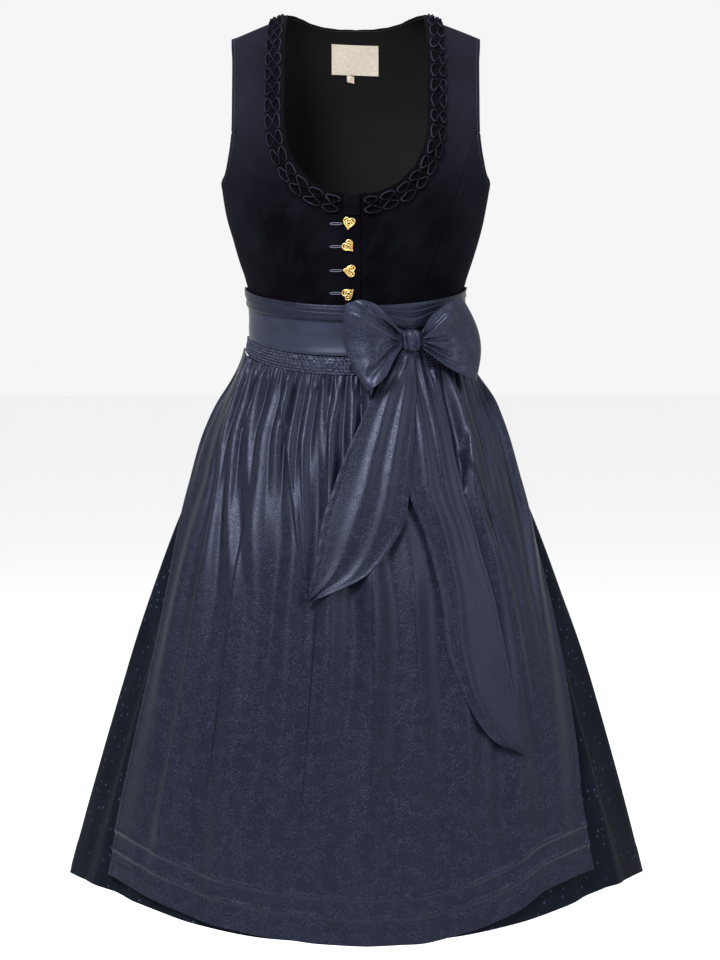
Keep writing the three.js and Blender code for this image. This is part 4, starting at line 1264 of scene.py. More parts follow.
# --- ruched trim
@dataclass
class Ruche:
    """A frog-mouth ruche: pleats pinched along the middle that open into two rows of mouths.

    Attributes:
        base: how far it lies off the velvet, in mm.
        puff: height of the mouths' lips, in mm.
        steps: rows of the grid a pleat.
        across: columns of the grid.
        near, far: its two edges, in mm from the neckline.
        middle: its pinched line, in mm from the neckline.
        reach: how far a mouth reaches from that line, in mm.
        pipe: radius of the piping along the neckline, in mm.
        seed: seed of its unevenness.
    """

    base: float = 0.5
    puff: float = 5.0
    steps: int = 16
    across: int = 44
    near: float = 0.8
    far: float = 22.8
    middle: float = 13.2
    reach: float = 9.4
    pipe: float = 0.85
    seed: int = 7

    def spread(self, away: Array) -> Array:
        """Width of a mouth, a share of its pleat, from the middle line outwards."""
        return 0.16 + 0.84 * smooth(0, 0.7, away)

    def path(self, points: Array, count: int) -> Array:
        """Even places along a line.

        Args:
            points: (phi, h) points of the line.
            count: how many places.

        Returns:
            (phi, h) places.
        """
        share = np.linspace(0, 1, 24, endpoint=False)[:, None]
        fine = np.concatenate([*(mix(a, b, share) for a, b in zip(points, points[1:])), points[-1:]])
        run = lengths(FIGURE.point(fine[:, 0], fine[:, 1]))
        at = np.linspace(0, run[-1], count)
        return np.stack([np.interp(at, run, fine[:, 0]), np.interp(at, run, fine[:, 1])], axis=-1)

    def height(self, s: Array, w: Array, units: int) -> Array:
        """Height of the ribbon over the ground.

        Args:
            s: places along it, one unit a pleat.
            w: places across it in mm.
            units: how many pleats it has.

        Returns:
            Heights in mm.
        """
        rng = np.random.default_rng(self.seed + units)
        size = rng.uniform(0.85, 1.12, units + 1)
        shift = rng.uniform(-0.05, 0.05, units + 1)
        unit_of = np.clip(s.astype(int), 0, units - 1)
        p = 2 * (s - unit_of) - 1 + shift[unit_of]
        total = np.interp(w, [0.8, 4.2, 8.8, 13.2, 17.8, 22.8], [1.3, 1.4, 1.4, 1.3, 1.4, 1.0])
        for hand in (-1, 1):
            away = hand * (w - self.middle) / self.reach
            q = (away - 0.5) / 0.5
            rho = np.sqrt((p / self.spread(away)) ** 2 * 1.05 + q * q)
            lip = np.exp(-(((rho - 0.8) / 0.15) ** 2))
            body = np.clip(1 - rho * rho, 0, 1) ** 0.5
            grow = np.clip(1 - p * p, 0, 1) ** 0.45 * np.clip(1.05 - q * q, 0, 1) ** 0.35
            total = total + self.puff * size[unit_of] * grow * (0.12 * body + 0.95 * lip)
        aside, up = (1 - np.abs(p)) * 9.5, w - self.middle
        rays = np.cos(np.arctan2(up, aside) * 9)
        total = total + 0.9 * rays * np.exp(-(((np.hypot(aside, up) - 4) / 3.6) ** 2))
        fine = np.sin(w * 3.1 + np.sin(s * 7)) * 0.12 * smooth(18, 22, w)
        return np.maximum(total + fine, 0.7)

    def run(
        self,
        name: str,
        points: Sequence[tuple[float, float]],
        units: int,
        rise: Callable[[Array], Array],
    ) -> Piece:
        """One length of ruche.

        Args:
            name: its node.
            points: (phi, h) points of the neckline.
            units: how many pleats it has.
            rise: how far the ground rises at distances off the centre line.

        Returns:
            The length.
        """
        path = self.path(np.array(points, float), units * self.steps + 1)
        w = np.linspace(self.near, self.far, self.across)
        place = FIGURE.beside(path, self.steps * 2 // 3, w)
        phi, h = place[..., 0], place[..., 1]
        s = np.maximum(np.linspace(0, units, len(path))[:, None] - 1e-6, 0)
        ground = self.base + rise(FIGURE.half(h) * np.sin(phi))
        outer = FIGURE.lifted(phi, h, ground + self.height(s, w[None, :], units))
        inner = FIGURE.lifted(phi, h, ground)
        self.rims(Maker(f"{name}_rims"), outer, units)
        maps = cloth_map(outer)
        if np.mean(np.sum(grid_normals(outer) * (outer - inner), axis=-1)) <= 0:
            outer, inner, maps = outer[:, ::-1], inner[:, ::-1], maps[:, ::-1]
        columns = np.array([0, self.across // 2, self.across - 1])
        maker = Maker(name).shell(outer, inner, maps, every(self.steps // 2, len(outer)), columns)
        phi, h = FIGURE.beside(path, self.steps, np.array([0.2]))[:, 0].T
        lift = 0.7 + rise(FIGURE.half(h) * np.sin(phi))
        maker.tube(FIGURE.lifted(phi, h, lift)[::4], self.pipe, 7)
        # The ruche's body takes the darker velvet copy: painted shade.
        return maker.build(RUCHED_PAINTED_SHADE, [name])

    def rims(self, maker: Maker, grid: Array, units: int) -> None:
        """The folded ribbon edges round the mouths, in a lighter copy of the velvet as their painted
        highlight.

        Args:
            maker: collects them.
            grid: the ribbon's outer grid, a pleat every few rows.
            units: how many pleats it has.
        """
        a = np.linspace(0, 2 * math.pi, 22, endpoint=False)
        rng = np.random.default_rng(self.seed + units)
        out = grid_normals(grid) * (1 if np.mean(grid_normals(grid)[..., 1]) < 0 else -1)
        radius = 0.66 + 0.24 * np.cos(a - 2.2)
        for pleat in range(units):
            for hand in (-1, 1):
                bend = rng.uniform(0, 2 * math.pi, 2)
                size = 0.95 + 0.05 * np.sin(2 * a + bend[0]) + 0.04 * np.sin(3 * a + bend[1])
                away = 0.5 + 0.49 * size * np.sin(a)
                row = pleat + 0.5 + 0.5 * size * np.cos(a) * self.spread(away)
                column = (self.middle + hand * self.reach * away - self.near) / (self.far - self.near)
                r = np.clip(np.round(row * self.steps).astype(int), 0, len(grid) - 1)
                c = np.clip(np.round(column * (self.across - 1)).astype(int), 0, self.across - 1)
                line = grid[r, c] + out[r, c] * 0.1
                eased = (np.roll(line, 1, axis=0) + 2 * line + np.roll(line, -1, axis=0)) / 4
                maker.tube(eased, radius * rng.uniform(0.8, 1.15), 5, closed=True)
        # The rims take the lighter velvet copy: painted highlight.
        maker.build(VELVET_PAINTED_HIGHLIGHT)

    def end(self) -> None:
        """The plain folded end beside the closure, with the band folded across it."""
        v, u = np.linspace(0, 1, 44)[:, None], np.linspace(0, 1, 34)[None, :]
        h, x = mix(-235, -211.6, v), mix(-13.2, 4.6, u)
        fold = 1.3 * np.exp(-(((v - 0.52) / 0.1) ** 2)) + 0.8 * smooth(0.06, 0, v)
        crease = 0.5 * np.sin(u * 9 + v * 2) * v * (1 - v) - 0.9 * smooth(0.93, 1, u)
        out = VELVET_WALL + SEAM_GAP + self.base + 2.0 + fold + crease
        points = FIGURE.lifted(FIGURE.angle_of(x, h), h, out)
        piece = Maker("trim_end").wall(points, 1.9).build(VELVET, ["trim_end"])

    def build(self) -> None:
        """Makes the lengths of both fronts and the back, and the end."""
        short = FIGURE.top - SEAM

        def neck(side: Side, start: float) -> list[tuple[float, float]]:
            """The neckline of one front.

            Args:
                side: the wearer's side.
                start: how far off the centre line it begins, in mm.

            Returns:
                (phi, h) points from near the closure to the shoulder.
            """
            points = [(start, NECK_CURVE[0][1]), *NECK_CURVE[1:]]
            points += [(float(strap_x(h)), h) for h in STRAP_HEIGHTS[1:]]
            return [(side.value * float(FIGURE.angle_of(x, h)), min(h, short)) for x, h in points]

        right = self.run("trim_front_right", neck(Side.RIGHT, 14)[::-1], 15, overlap_rise)
        left = self.run("trim_front_left", neck(Side.LEFT, 7), 16, np.zeros_like)
        across = [*BACK_NECK[::-1], *[(-x, h) for x, h in BACK_NECK[1:]]]
        places = [(float(FIGURE.angle_of(x, h, True)), min(h, short)) for x, h in across]
        back = self.run("trim_back", places, 9, np.zeros_like)
        for piece, cut, under in (
            (right, 0.44, "bodice_front_right"),
            (left, 0.47, "bodice_front_left"),
            (back, 0.27, "bodice_back"),
        ):
            0.026 * cut
        self.end()


# --- buttons
@dataclass
class Buttons:
    """Pressed openwork heart buttons and their thread loops; sizes in mm.

    Attributes:
        size: height of a heart.
        x: how far off the centre line they sit.
        places: running height of each, and how far it has turned, in degrees.
        lift: how far their middle stands off the velvet.
        frame: radius of the outer wire.
        wire: radius of the inner hearts' wire.
        scrolls: centre, radius and first angle of each spiral of one half.
        loop_x: middle of the thread loops.
        loop: half-length and half-width of a loop.
    """

    size: float = 15
    x: float = -7.7
    places: tuple[tuple[float, float], ...] = ((-244.6, -8), (-270.6, 42), (-298, -96), (-324, 128))
    lift: float = 1.9
    frame: float = 0.95
    wire: float = 0.5
    scrolls: tuple[tuple[float, float, float, float], ...] = (
        (3.0, 2.4, 1.5, 0.4), (2.4, -1.3, 1.3, 2.4), (5.1, 1.2, 1.0, 1.0),
    )
    loop_x: float = -22.2
    loop: tuple[float, float] = (6.8, 1.15)

    def heart(self, scale: float, count: int) -> Array:
        """A closed heart line.

        Args:
            scale: its half-height in mm.
            count: how many points it has.

        Returns:
            Points of a flat line.
        """
        t = np.linspace(0, 2 * math.pi, count, endpoint=False)
        x = 16 * np.sin(t) ** 3
        y = 13 * np.cos(t) - 5 * np.cos(2 * t) - 2 * np.cos(3 * t) - np.cos(4 * t)
        return np.stack([x / 16.5, (y + 2.6) / 14.5, np.zeros(count)], axis=-1) * scale

    def spiral(self, x: float, y: float, radius: float, turn: float, hand: int) -> Array:
        """A small spiral of wire.

        Args:
            x: its centre, across.
            y: its centre, upwards.
            radius: its outer radius in mm.
            turn: the angle at which it starts, in radians.
            hand: 1 or -1, the way it winds.

        Returns:
            Points of a flat line.
        """
        t = np.linspace(0, 1, 22)
        r = radius * (1 - 0.75 * t)
        a = turn + hand * t * 3.2 * math.pi
        return np.stack([x + r * np.cos(a), y + r * np.sin(a), np.zeros(len(t))], axis=-1)

    def button(self, name: str, h: float, turn: float) -> None:
        """One button.

        Args:
            name: its node.
            h: its running height.
            turn: how far it has turned on its thread, in degrees.
        """
        phi, h = FIGURE.angle_of(self.x, h), np.array(h)
        away = FIGURE.normal(phi, h)
        up = unit(np.array([0, 0, 1]) - away * away[2])
        across = np.cross(up, away)
        c, s = math.cos(turn * DEG), math.sin(turn * DEG)
        basis = np.stack([across * c + up * s, up * c - across * s, away])
        origin = FIGURE.lifted(phi, h, overlap_rise(self.x) + self.lift)
        half = self.size / 2

        def place(line: Array, dome: float = 1.1) -> Array:
            """Puts a flat line on the domed button.

            Args:
                line: points in mm.
                dome: how far the middle stands out, in mm.

            Returns:
                The points on the dress.
            """
            bowed = line.copy()
            bowed[:, 2] += dome * (1 - (line[:, :2] ** 2).sum(-1) / half**2)
            return origin + bowed @ basis

        maker = Maker(name)
        maker.tube(place(self.heart(half - self.frame, 56)), self.frame, 8, closed=True)
        maker.tube(place(self.heart(half * 0.6, 40)), self.wire, 6, closed=True)
        maker.tube(place(self.heart(half * 0.26, 26), 1.5), self.wire, 6, closed=True)
        for hand in (-1, 1):
            for x, y, radius, start in self.scrolls:
                line = place(self.spiral(hand * x, y, radius, start, hand))
                maker.tube(line, self.wire * 0.85, 6)
        poles = np.array([-0.5, -0.25, 0.25, 0.5])[:, None] * np.array([0, 0, 1])
        for bead in self.heart(half * 0.79, 18):
            maker.tube(place(poles + bead), np.array([0.15, 0.5, 0.5, 0.15]), 7)
        maker.build(BRASS, [name])

    def build(self) -> None:
        """Makes every button and loop."""
        loops = Maker("buttonholes")
        a = np.linspace(0, 2 * math.pi, 40, endpoint=False)
        for index, (h, turn) in enumerate(self.places):
            self.button(f"button_{index + 1}", h, turn)
            x = self.loop[0] * np.cos(a) + self.loop_x
            rows = h + self.loop[1] * np.sin(a) + 0.1 * np.sin(a * 3)
            line = FIGURE.lifted(FIGURE.angle_of(x, rows), rows, overlap_rise(x) + 0.5)
            loops.tube(line, 0.5, 6, closed=True)
        loops.build(THREAD)


# --- folds
@dataclass(frozen=True)
class FoldLayer:
    """Folds of one size that each begin and end in their own place.

    Attributes:
        count: how many lie side by side from 0 to 1.
        height: how far they stand, in mm.
        start, full, fade, gone: drops in mm where they begin, stand full, sink and end.
        seed: seed of their unevenness.
        sharp: above 1, crests narrower than the hollows between them.
        wander: how far they stray sideways, in folds.
    """

    count: float
    height: float
    start: float
    full: float
    fade: float
    gone: float
    seed: int
    sharp: float = 1.0
    wander: float = 0.35

    def at(self, place: Array, drop: Array) -> Array:
        """How far the folds stand.

        Args:
            place: places from 0 to 1.
            drop: drops in mm.

        Returns:
            Heights in mm.
        """
        rng = np.random.default_rng(self.seed)
        chance = rng.uniform(0, 1, (4, int(self.count) + 8))
        stray = ripple(max(3, int(self.count / 3)), self.seed + 1)(place)
        sway = ripple(5, self.seed + 2)(np.clip(drop / 700, 0, 1))
        phase = place * self.count + self.wander * (stray + 0.5 * sway * np.sin(place * 21))
        index = np.clip(np.round(phase).astype(int) + 3, 0, chance.shape[1] - 1)
        crest = (0.5 + 0.5 * np.cos(2 * math.pi * phase)) ** self.sharp
        size = 0.35 + chance[0][index]
        grown = smooth(self.start, self.full, drop / (0.5 + chance[1][index]))
        sunk = smooth(self.fade, self.gone, drop / (0.75 + 0.5 * chance[2][index]))
        return self.height * size * crest * grown * (1 - sunk)


def stacked(layers: Sequence[FoldLayer], place: Array, drop: Array) -> Array:
    """Sum of several fold layers."""
    return sum(layer.at(place, drop) for layer in layers)


# --- skirt
@dataclass
class Skirt:
    """The skirt's front and back widths, gathered onto the bodice; sizes in mm.

    Attributes:
        top: height of its upper edge.
        out: how far it stands out from the figure between the folds.
        wall: thickness of the cloth.
        lap: how far it laps up under the bodice, row by row.
        hem: height of the hem at angles from the front centre, in degrees.
        hem_turned: how wide the hem is turned in.
        layers: its gathers.
        broad_count: broad folds in a whole turn.
        broad_depth: their depth.
    """

    top: float = WAIST - SEAM_GAP
    out: float = -1.0
    wall: float = 1.6
    lap: tuple[float, ...] = (0.3, 0.6, 4.0)
    hem: Table = table(
        "turn z",
        (0, -1042), (15, -1040), (30, -1031), (45, -1018), (60, -1010), (75, -1012),
        (90, -1020), (120, -1030), (150, -1035), (180, -1036),
    )
    hem_turned: float = 32
    layers: tuple[FoldLayer, ...] = (
        FoldLayer(104, 2.6, -8, 2, 22, 60, 31, wander=0.5),
        FoldLayer(48, 6.0, -10, 30, 110, 260, 32, wander=0.45),
        FoldLayer(36, 4.5, 90, 220, 420, 700, 33, 1.3, 0.6),
    )
    broad_count: int = 18
    broad_depth: float = 14

    def fold(self, phi: Array, drop: Array) -> Array:
        """Depth of the folds behind the figure's line, plain where the apron hides it.

        Args:
            phi: angles in radians.
            drop: drops below the waist in mm.

        Returns:
            Depths in mm.
        """
        turn = np.mod(phi / DEG, 360)
        shown = smooth(42, 51, np.minimum(turn, 360 - turn))
        cycle = turn * self.broad_count / 360 + 0.2 * ripple(9, 5)(turn / 360)
        size = 0.75 + 0.3 * ripple(self.broad_count, 8)(turn / 360)
        broad = (0.5 - 0.5 * np.cos(2 * math.pi * cycle)) ** 0.85 * size
        depth = self.broad_depth * smooth(60, 320, drop) * (1 - 0.42 * smooth(500, 680, drop))
        return shown * (stacked(self.layers, turn / 360, drop) + broad * depth)

    def width(self, name: str, columns: Array, rows: int, tucked: bool) -> Piece:
        """One width of the skirt.

        Args:
            name: its node.
            columns: its columns, in degrees round the figure.
            rows: how many rows it has.
            tucked: whether its side edges lie under the other width.

        Returns:
            The width.
        """
        phi = columns[None, :] * DEG
        turn = np.abs(np.mod(phi / DEG + 180, 360) - 180)
        fall = np.linspace(1, 0, rows)[:, None] ** 1.15
        hem = self.hem.read("z", turn)
        lap = np.tile(self.top + np.array(self.lap)[:, None], columns.shape)
        h = np.concatenate([mix(self.top, hem, fall), lap])
        drop = np.maximum(self.top - h, 0)
        above = h - hem - self.hem_turned
        turned = 0.5 * smooth(1, -0.5, above) + 0.35 * np.exp(-((above / 1.2) ** 2))
        wave = 1.6 * ripple(26, 12)(np.mod(phi / DEG, 360) / 360) * smooth(350, 660, drop)
        under = (self.wall + 0.5) * smooth(89.9, 90.1, turn) if tucked else 0
        under = under + 0.55 * smooth(self.top, self.top + 0.6, h)
        folded = self.fold(phi, drop) * smooth(self.top, self.top - 3, h)
        out = self.out - folded + turned + np.minimum(wave, 0.6) - under
        points = FIGURE.lifted(phi, h, np.minimum(out, 0.4))
        return Maker(name).wall(points, self.wall, 3).build(SKIRT_CLOTH, [name])

    def build(self) -> None:
        """Makes both widths."""
        seam = np.array([90.1, 90.3, 90.5])
        columns = np.concatenate([-seam[::-1], np.linspace(-89.9, 89.9, 330), seam])
        front = self.width("skirt_front", columns, 110, True)
        back = self.width("skirt_back", np.linspace(90.06, 269.94, 420), 110, False)


# --- apron
@dataclass(frozen=True)
class Edge:
    """A band's edge; sizes in mm.

    Attributes:
        side: its height at the sides.
        dip: how far it dips at the front centre.
        pull: how far the knot pulls it down beside it.
    """

    side: float
    dip: float
    pull: float = 0

    def at(self, phi: Array) -> Array:
        """Heights of the edge at angles in radians."""
        pulled = self.pull * np.exp(-(((phi / DEG - 30) / 11) ** 2))
        return self.side - self.dip * np.maximum(0, np.cos(phi)) - pulled


WAIST_TOP = Edge(-325, 20)
SATIN_FOOT = Edge(-372, 25)
SMOCK_FOOT = Edge(-387, 33)
TIE_TOP = Edge(-314, 24)
TIE_FOOT = Edge(-335, 20.5, 13)
HALF_ANGLE = 88


@dataclass(frozen=True)
class Crease:
    """A crease that runs down the apron and falls off steeply on one side; sizes in mm.

    Attributes:
        top_z, top_x: where it begins.
        foot_z, foot_x: where it ends.
        height: how far it stands.
        width: how far its gentle side reaches.
    """

    top_z: float
    top_x: float
    foot_z: float
    foot_x: float
    height: float
    width: float

    def at(self, x: Array, z: Array) -> Array:
        """How far the crease stands.

        Args:
            x: distances off the centre line in mm.
            z: heights in mm.

        Returns:
            Heights of the crease in mm.
        """
        t = (self.top_z - z) / (self.top_z - self.foot_z)
        away = x - mix(self.top_x, self.foot_x, t)
        shown = smooth(-0.05, 0.25, t) * smooth(1.1, 0.7, t)
        fall = np.exp(-np.maximum(0, away) / self.width) * smooth(-2.5, 0.5, away)
        return self.height * shown * fall


@dataclass
class Apron:
    """The gathered apron panel with two hem tucks, its smocked band and its waistband.

    Attributes:
        wall: thickness of the panel, in mm.
        out: how far it stands out from the figure, in mm.
        tucks: heights of the tucks over the hem, in mm.
        hem_turned: how wide the hem is turned in, in mm.
        tuck_step: how far the cloth steps out at a tuck, in mm.
        cells: puffs in a row of the smocking.
        rows: rows of puffs.
        edges: angles of the side edges at each height, in degrees.
        hem: height of the hem at each angle.
        folds: broad folds, each an angle at the waist, a height in mm, a half-width in degrees
            and the drop in mm where it begins.
        layers: its gathers.
        creases: its creases.
    """

    wall: float = 1.3
    out: float = 2.0
    tucks: tuple[float, ...] = (27, 48)
    hem_turned: float = 16
    tuck_step: float = 1.3
    cells: int = 78
    rows: int = 6
    edges: Table = table(
        "z right left",
        (-1050, -55.2, 52), (-993, -55.3, 52.3), (-918, -56, 52.7), (-844, -56.5, 55.9),
        (-744, -57.7, 59.4), (-654, -61, 62.9), (-550, -70, 69), (-480, -80, 78),
        (-390, -88, 88),
    )
    hem: Table = table(
        "phi z",
        (-60, -991), (-55.3, -993), (-39.7, -1011), (-24, -1031), (-13, -1039), (0, -1044.5),
        (11, -1043.5), (20, -1034), (30, -1018), (39, -996), (52, -985), (60, -983),
    )
    folds: tuple[tuple[float, float, float, float], ...] = (
        (-76, 2.5, 5.5, 60), (-60, 6.5, 4.6, 90), (-42, 10, 5, 110), (-24, 9, 4.6, 60),
        (-10, 9, 3.8, 70), (5, 11, 4.2, 150), (20, 10, 4.6, 120), (38, 10, 5, 90),
        (56, 7, 5, 80), (74, 2.5, 5, 60),
    )
    layers: tuple[FoldLayer, ...] = (
        FoldLayer(60, 1.8, -14, 0, 6, 26, 21, wander=0.5),
        FoldLayer(21, 7.4, -8, 16, 50, 200, 22, 0.6, 0.9),
        FoldLayer(12, 5.5, 10, 70, 150, 420, 24, 0.8, 0.9),
        FoldLayer(9, 4.0, 90, 230, 420, 640, 23, 1.3, 0.9),
    )
    creases: tuple[Crease, ...] = (
        Crease(-427, -85, -662, -55, 3.4, 15), Crease(-481, -60, -665, -53, 2.4, 11),
        Crease(-444, -29, -533, -29, 2.6, 10), Crease(-471, 120, -596, 120, 3.2, 14),
        Crease(-470, 30, -640, 24, 2.6, 13), Crease(-560, -118, -900, -165, 3.6, 22),
        Crease(-600, 18, -1000, 24, 3.6, 20), Crease(-640, 62, -860, 74, 3.2, 17),
        Crease(-489, 104, -620, 172, 3.4, 14), Crease(-520, 140, -900, 215, 3.2, 20),
        Crease(-588, -160, -940, -222, 3.4, 22), Crease(-660, -40, -960, -62, 2.8, 22),
    )

    def place(self, share: Array, v: Array) -> tuple[Array, Array, Array]:
        """Places of the panel.

        Args:
            share: shares of its width.
            v: shares of its length.

        Returns:
            Angles in radians, heights and drops below the smocked band in mm.
        """
        phi = mix(-HALF_ANGLE, HALF_ANGLE, share) * DEG
        top = SMOCK_FOOT.at(phi) - SEAM_GAP
        for _ in range(5):
            z = mix(top, self.hem.read("z", phi / DEG), v)
            phi = mix(self.edges.read("right", z), self.edges.read("left", z), share) * DEG
        return phi, z, top - z

    def rise(self, share: Array, drop: Array) -> Array:
        """How far the gathers and folds stand.

        Args:
            share: shares of the panel's width.
            drop: drops below the smocked band in mm.

        Returns:
            Heights in mm.
        """
        angle = mix(-HALF_ANGLE, HALF_ANGLE, share)
        sway = 1.6 * ripple(4, 3)(np.clip(drop / 660, 0, 1)) * smooth(40, 300, drop)
        broad = 0
        for centre, height, spread, start in self.folds:
            away = (angle + sway - centre) / (spread * 1.3)
            grown = smooth(start - 40, start + 140, drop) * (1 - 0.5 * smooth(480, 620, drop))
            broad = broad + height * grown * np.exp(-np.abs(away) ** 1.7)
        side = np.minimum(share, 1 - share)
        tight = (1 - smooth(0.02, 0.15, side)) * (1 - smooth(6, 75, drop))
        return (broad + stacked(self.layers, share, drop)) * (1 - tight)

    def tucked(self, above: Array) -> Array:
        """How far the cloth steps out at the tucks.

        Args:
            above: heights over the hem in mm.

        Returns:
            The steps in mm.
        """
        total = 0
        for tuck in self.tucks:
            past = above - tuck
            total = total + self.tuck_step * smooth(-0.8, 0.8, past)
            total = total + 0.9 * np.exp(-(((past - 3) / 2.4) ** 2))
        return total

    def panel(self) -> Piece:
        """The gathered panel.

        Returns:
            The panel.
        """
        share = edge_spaced(430, 0.006)[None, :]
        v = np.concatenate([np.linspace(0, 0.9, 112), np.linspace(0.9, 1, 50)[1:]])[::-1, None]
        phi, z, drop = self.place(share, v)
        above = z - self.hem.read("z", phi / DEG)
        side = np.minimum(share, 1 - share)
        hem = 0.5 * smooth(0.011, 0.0095, side) + 0.4 * smooth(1, 0, above - self.hem_turned)
        pucker = 0.35 * np.sin(share * 690) * np.exp(-(((above - self.tucks[0]) / 5) ** 2))
        x = FIGURE.half(z) * np.sin(phi)
        creased = sum(crease.at(x, z) for crease in self.creases)
        out = self.out + self.rise(share, drop) + creased + self.tucked(above) + hem + pucker
        points = FIGURE.lifted(phi, z, out)
        maker = Maker("apron_panel").wall(points, self.wall, 3)
        for seam in (*self.tucks, self.hem_turned):
            rows = np.argmin(np.abs(above + 1.2 - seam), axis=0)
            line = points[rows, np.arange(points.shape[1])] - np.array([0, 0.15, 0])
            sew(maker, line, 2.2, 1.2, 0.17)
        return maker.build(JACQUARD, ["apron_panel"])

    def smocked(self) -> Piece:
        """The shirred band: staggered puffs between rows of stitching.

        Returns:
            The band.
        """
        u, v = np.linspace(0, 1, self.cells * 8 + 1)[None, :], np.linspace(0, 1, 46)[:, None]
        phi = mix(-HALF_ANGLE, HALF_ANGLE, u) * DEG
        h = mix(SMOCK_FOOT.at(phi), SATIN_FOOT.at(phi) - SEAM_GAP, v)
        band = np.minimum((v * self.rows).astype(int), self.rows - 1)
        stray = 0.22 * ripple(60, 41)(u) + 0.12 * np.sin(band * 2.4)
        cell = u * self.cells + 0.5 * (band % 2) + stray
        across = np.abs(np.sin(math.pi * cell)) ** 0.55
        along = np.abs(np.sin(math.pi * v * self.rows)) ** 0.55
        number = np.floor(cell).astype(int) + band * 131
        size = 0.7 + 0.5 * np.random.default_rng(44).uniform(0, 1, 2000)[number % 2000]
        points = FIGURE.lifted(phi, h, 1.3 + 2.7 * across * along * size)
        maker = Maker("apron_smocked_band").wall(points, 1.0, 4)
        # The smocked band takes the lighter jacquard copy: painted light.
        return maker.build(SHIRRED_PAINTED_LIGHT, ["apron_smocked_band"])

    def band(
        self,
        name: str,
        angles: tuple[float, float],
        edges: tuple[Edge, Edge],
        outs: Sequence[float],
        ledges: Sequence[tuple[float, float]],
        finish: Finish,
        seed: int,
        thickness: float,
    ) -> Piece:
        """A band round the waist.

        Args:
            name: its node.
            angles: where it begins and ends, in degrees.
            edges: its upper and lower edge.
            outs: how far it stands out, from foot to top, in mm.
            ledges: folded layers, each a place across the band at its start and end.
            finish: its finish.
            seed: seed of its drag lines.
            thickness: its thickness in mm.

        Returns:
            The band.
        """
        u, v = np.linspace(0, 1, 240)[None, :], edge_spaced(52, 0.07)[:, None]
        phi = mix(*angles, u) * DEG
        h = mix(edges[1].at(phi), edges[0].at(phi), v)
        turn = np.abs(phi / DEG)
        tight = 1 - 0.36 * smooth(50, 88, turn) * smooth(120, 92, turn)
        out = np.interp(v, np.linspace(0, 1, len(outs)), outs) * tight + closure_rise(phi)
        drag = 0.35 * ripple(14, seed)(np.clip(u + 0.05 * v, 0, 1)) * v * (1 - v) * 4
        wave = 0.3 * np.sin(v * 9 + 3 * ripple(4, seed + 1)(u)) * smooth(0, 0.2, v) * smooth(1, 0.8, v)
        out = out + rolled(v, 0.07, 0.6) + drag + wave
        for start, end in ledges:
            line = mix(start, end, u) + 0.03 * ripple(6, seed + 3)(u)
            out = out + 0.75 * (smooth(line + 0.025, line - 0.025, v) - 0.5)
            out = out - 0.35 * np.exp(-(((v - line - 0.05) / 0.035) ** 2))
        return Maker(name).wall(FIGURE.lifted(phi, h, out), thickness, 3).build(finish, [name])

    def build(self) -> None:
        """Makes the panel, its bands and the ties wound round the waist."""
        panel = self.panel()
        smocked = self.smocked()
        ends, edges = (-HALF_ANGLE, HALF_ANGLE), (WAIST_TOP, SATIN_FOOT)
        satin = self.band("apron_waistband", ends, edges, (2.7, 2.9, 2.7), (), SATIN, 51, 1.2)
        ties = (
            ("tie_wrap_front", (-91.9, 91.9), (5.5, 5.6, 6.3, 6.7, 6.4), ((0.62, 0.3), (0.86, 0.62))),
            ("tie_wrap_back", (92.2, 267.8), (3.6, 4.2, 3.7, 4.3, 3.8), ((0.5, 0.42),)),
        )
        for index, (name, angles, outs, ledges) in enumerate(ties):
            tie = self.band(name, angles, (TIE_TOP, TIE_FOOT), outs, ledges, JACQUARD, 60 + index, 1.7)


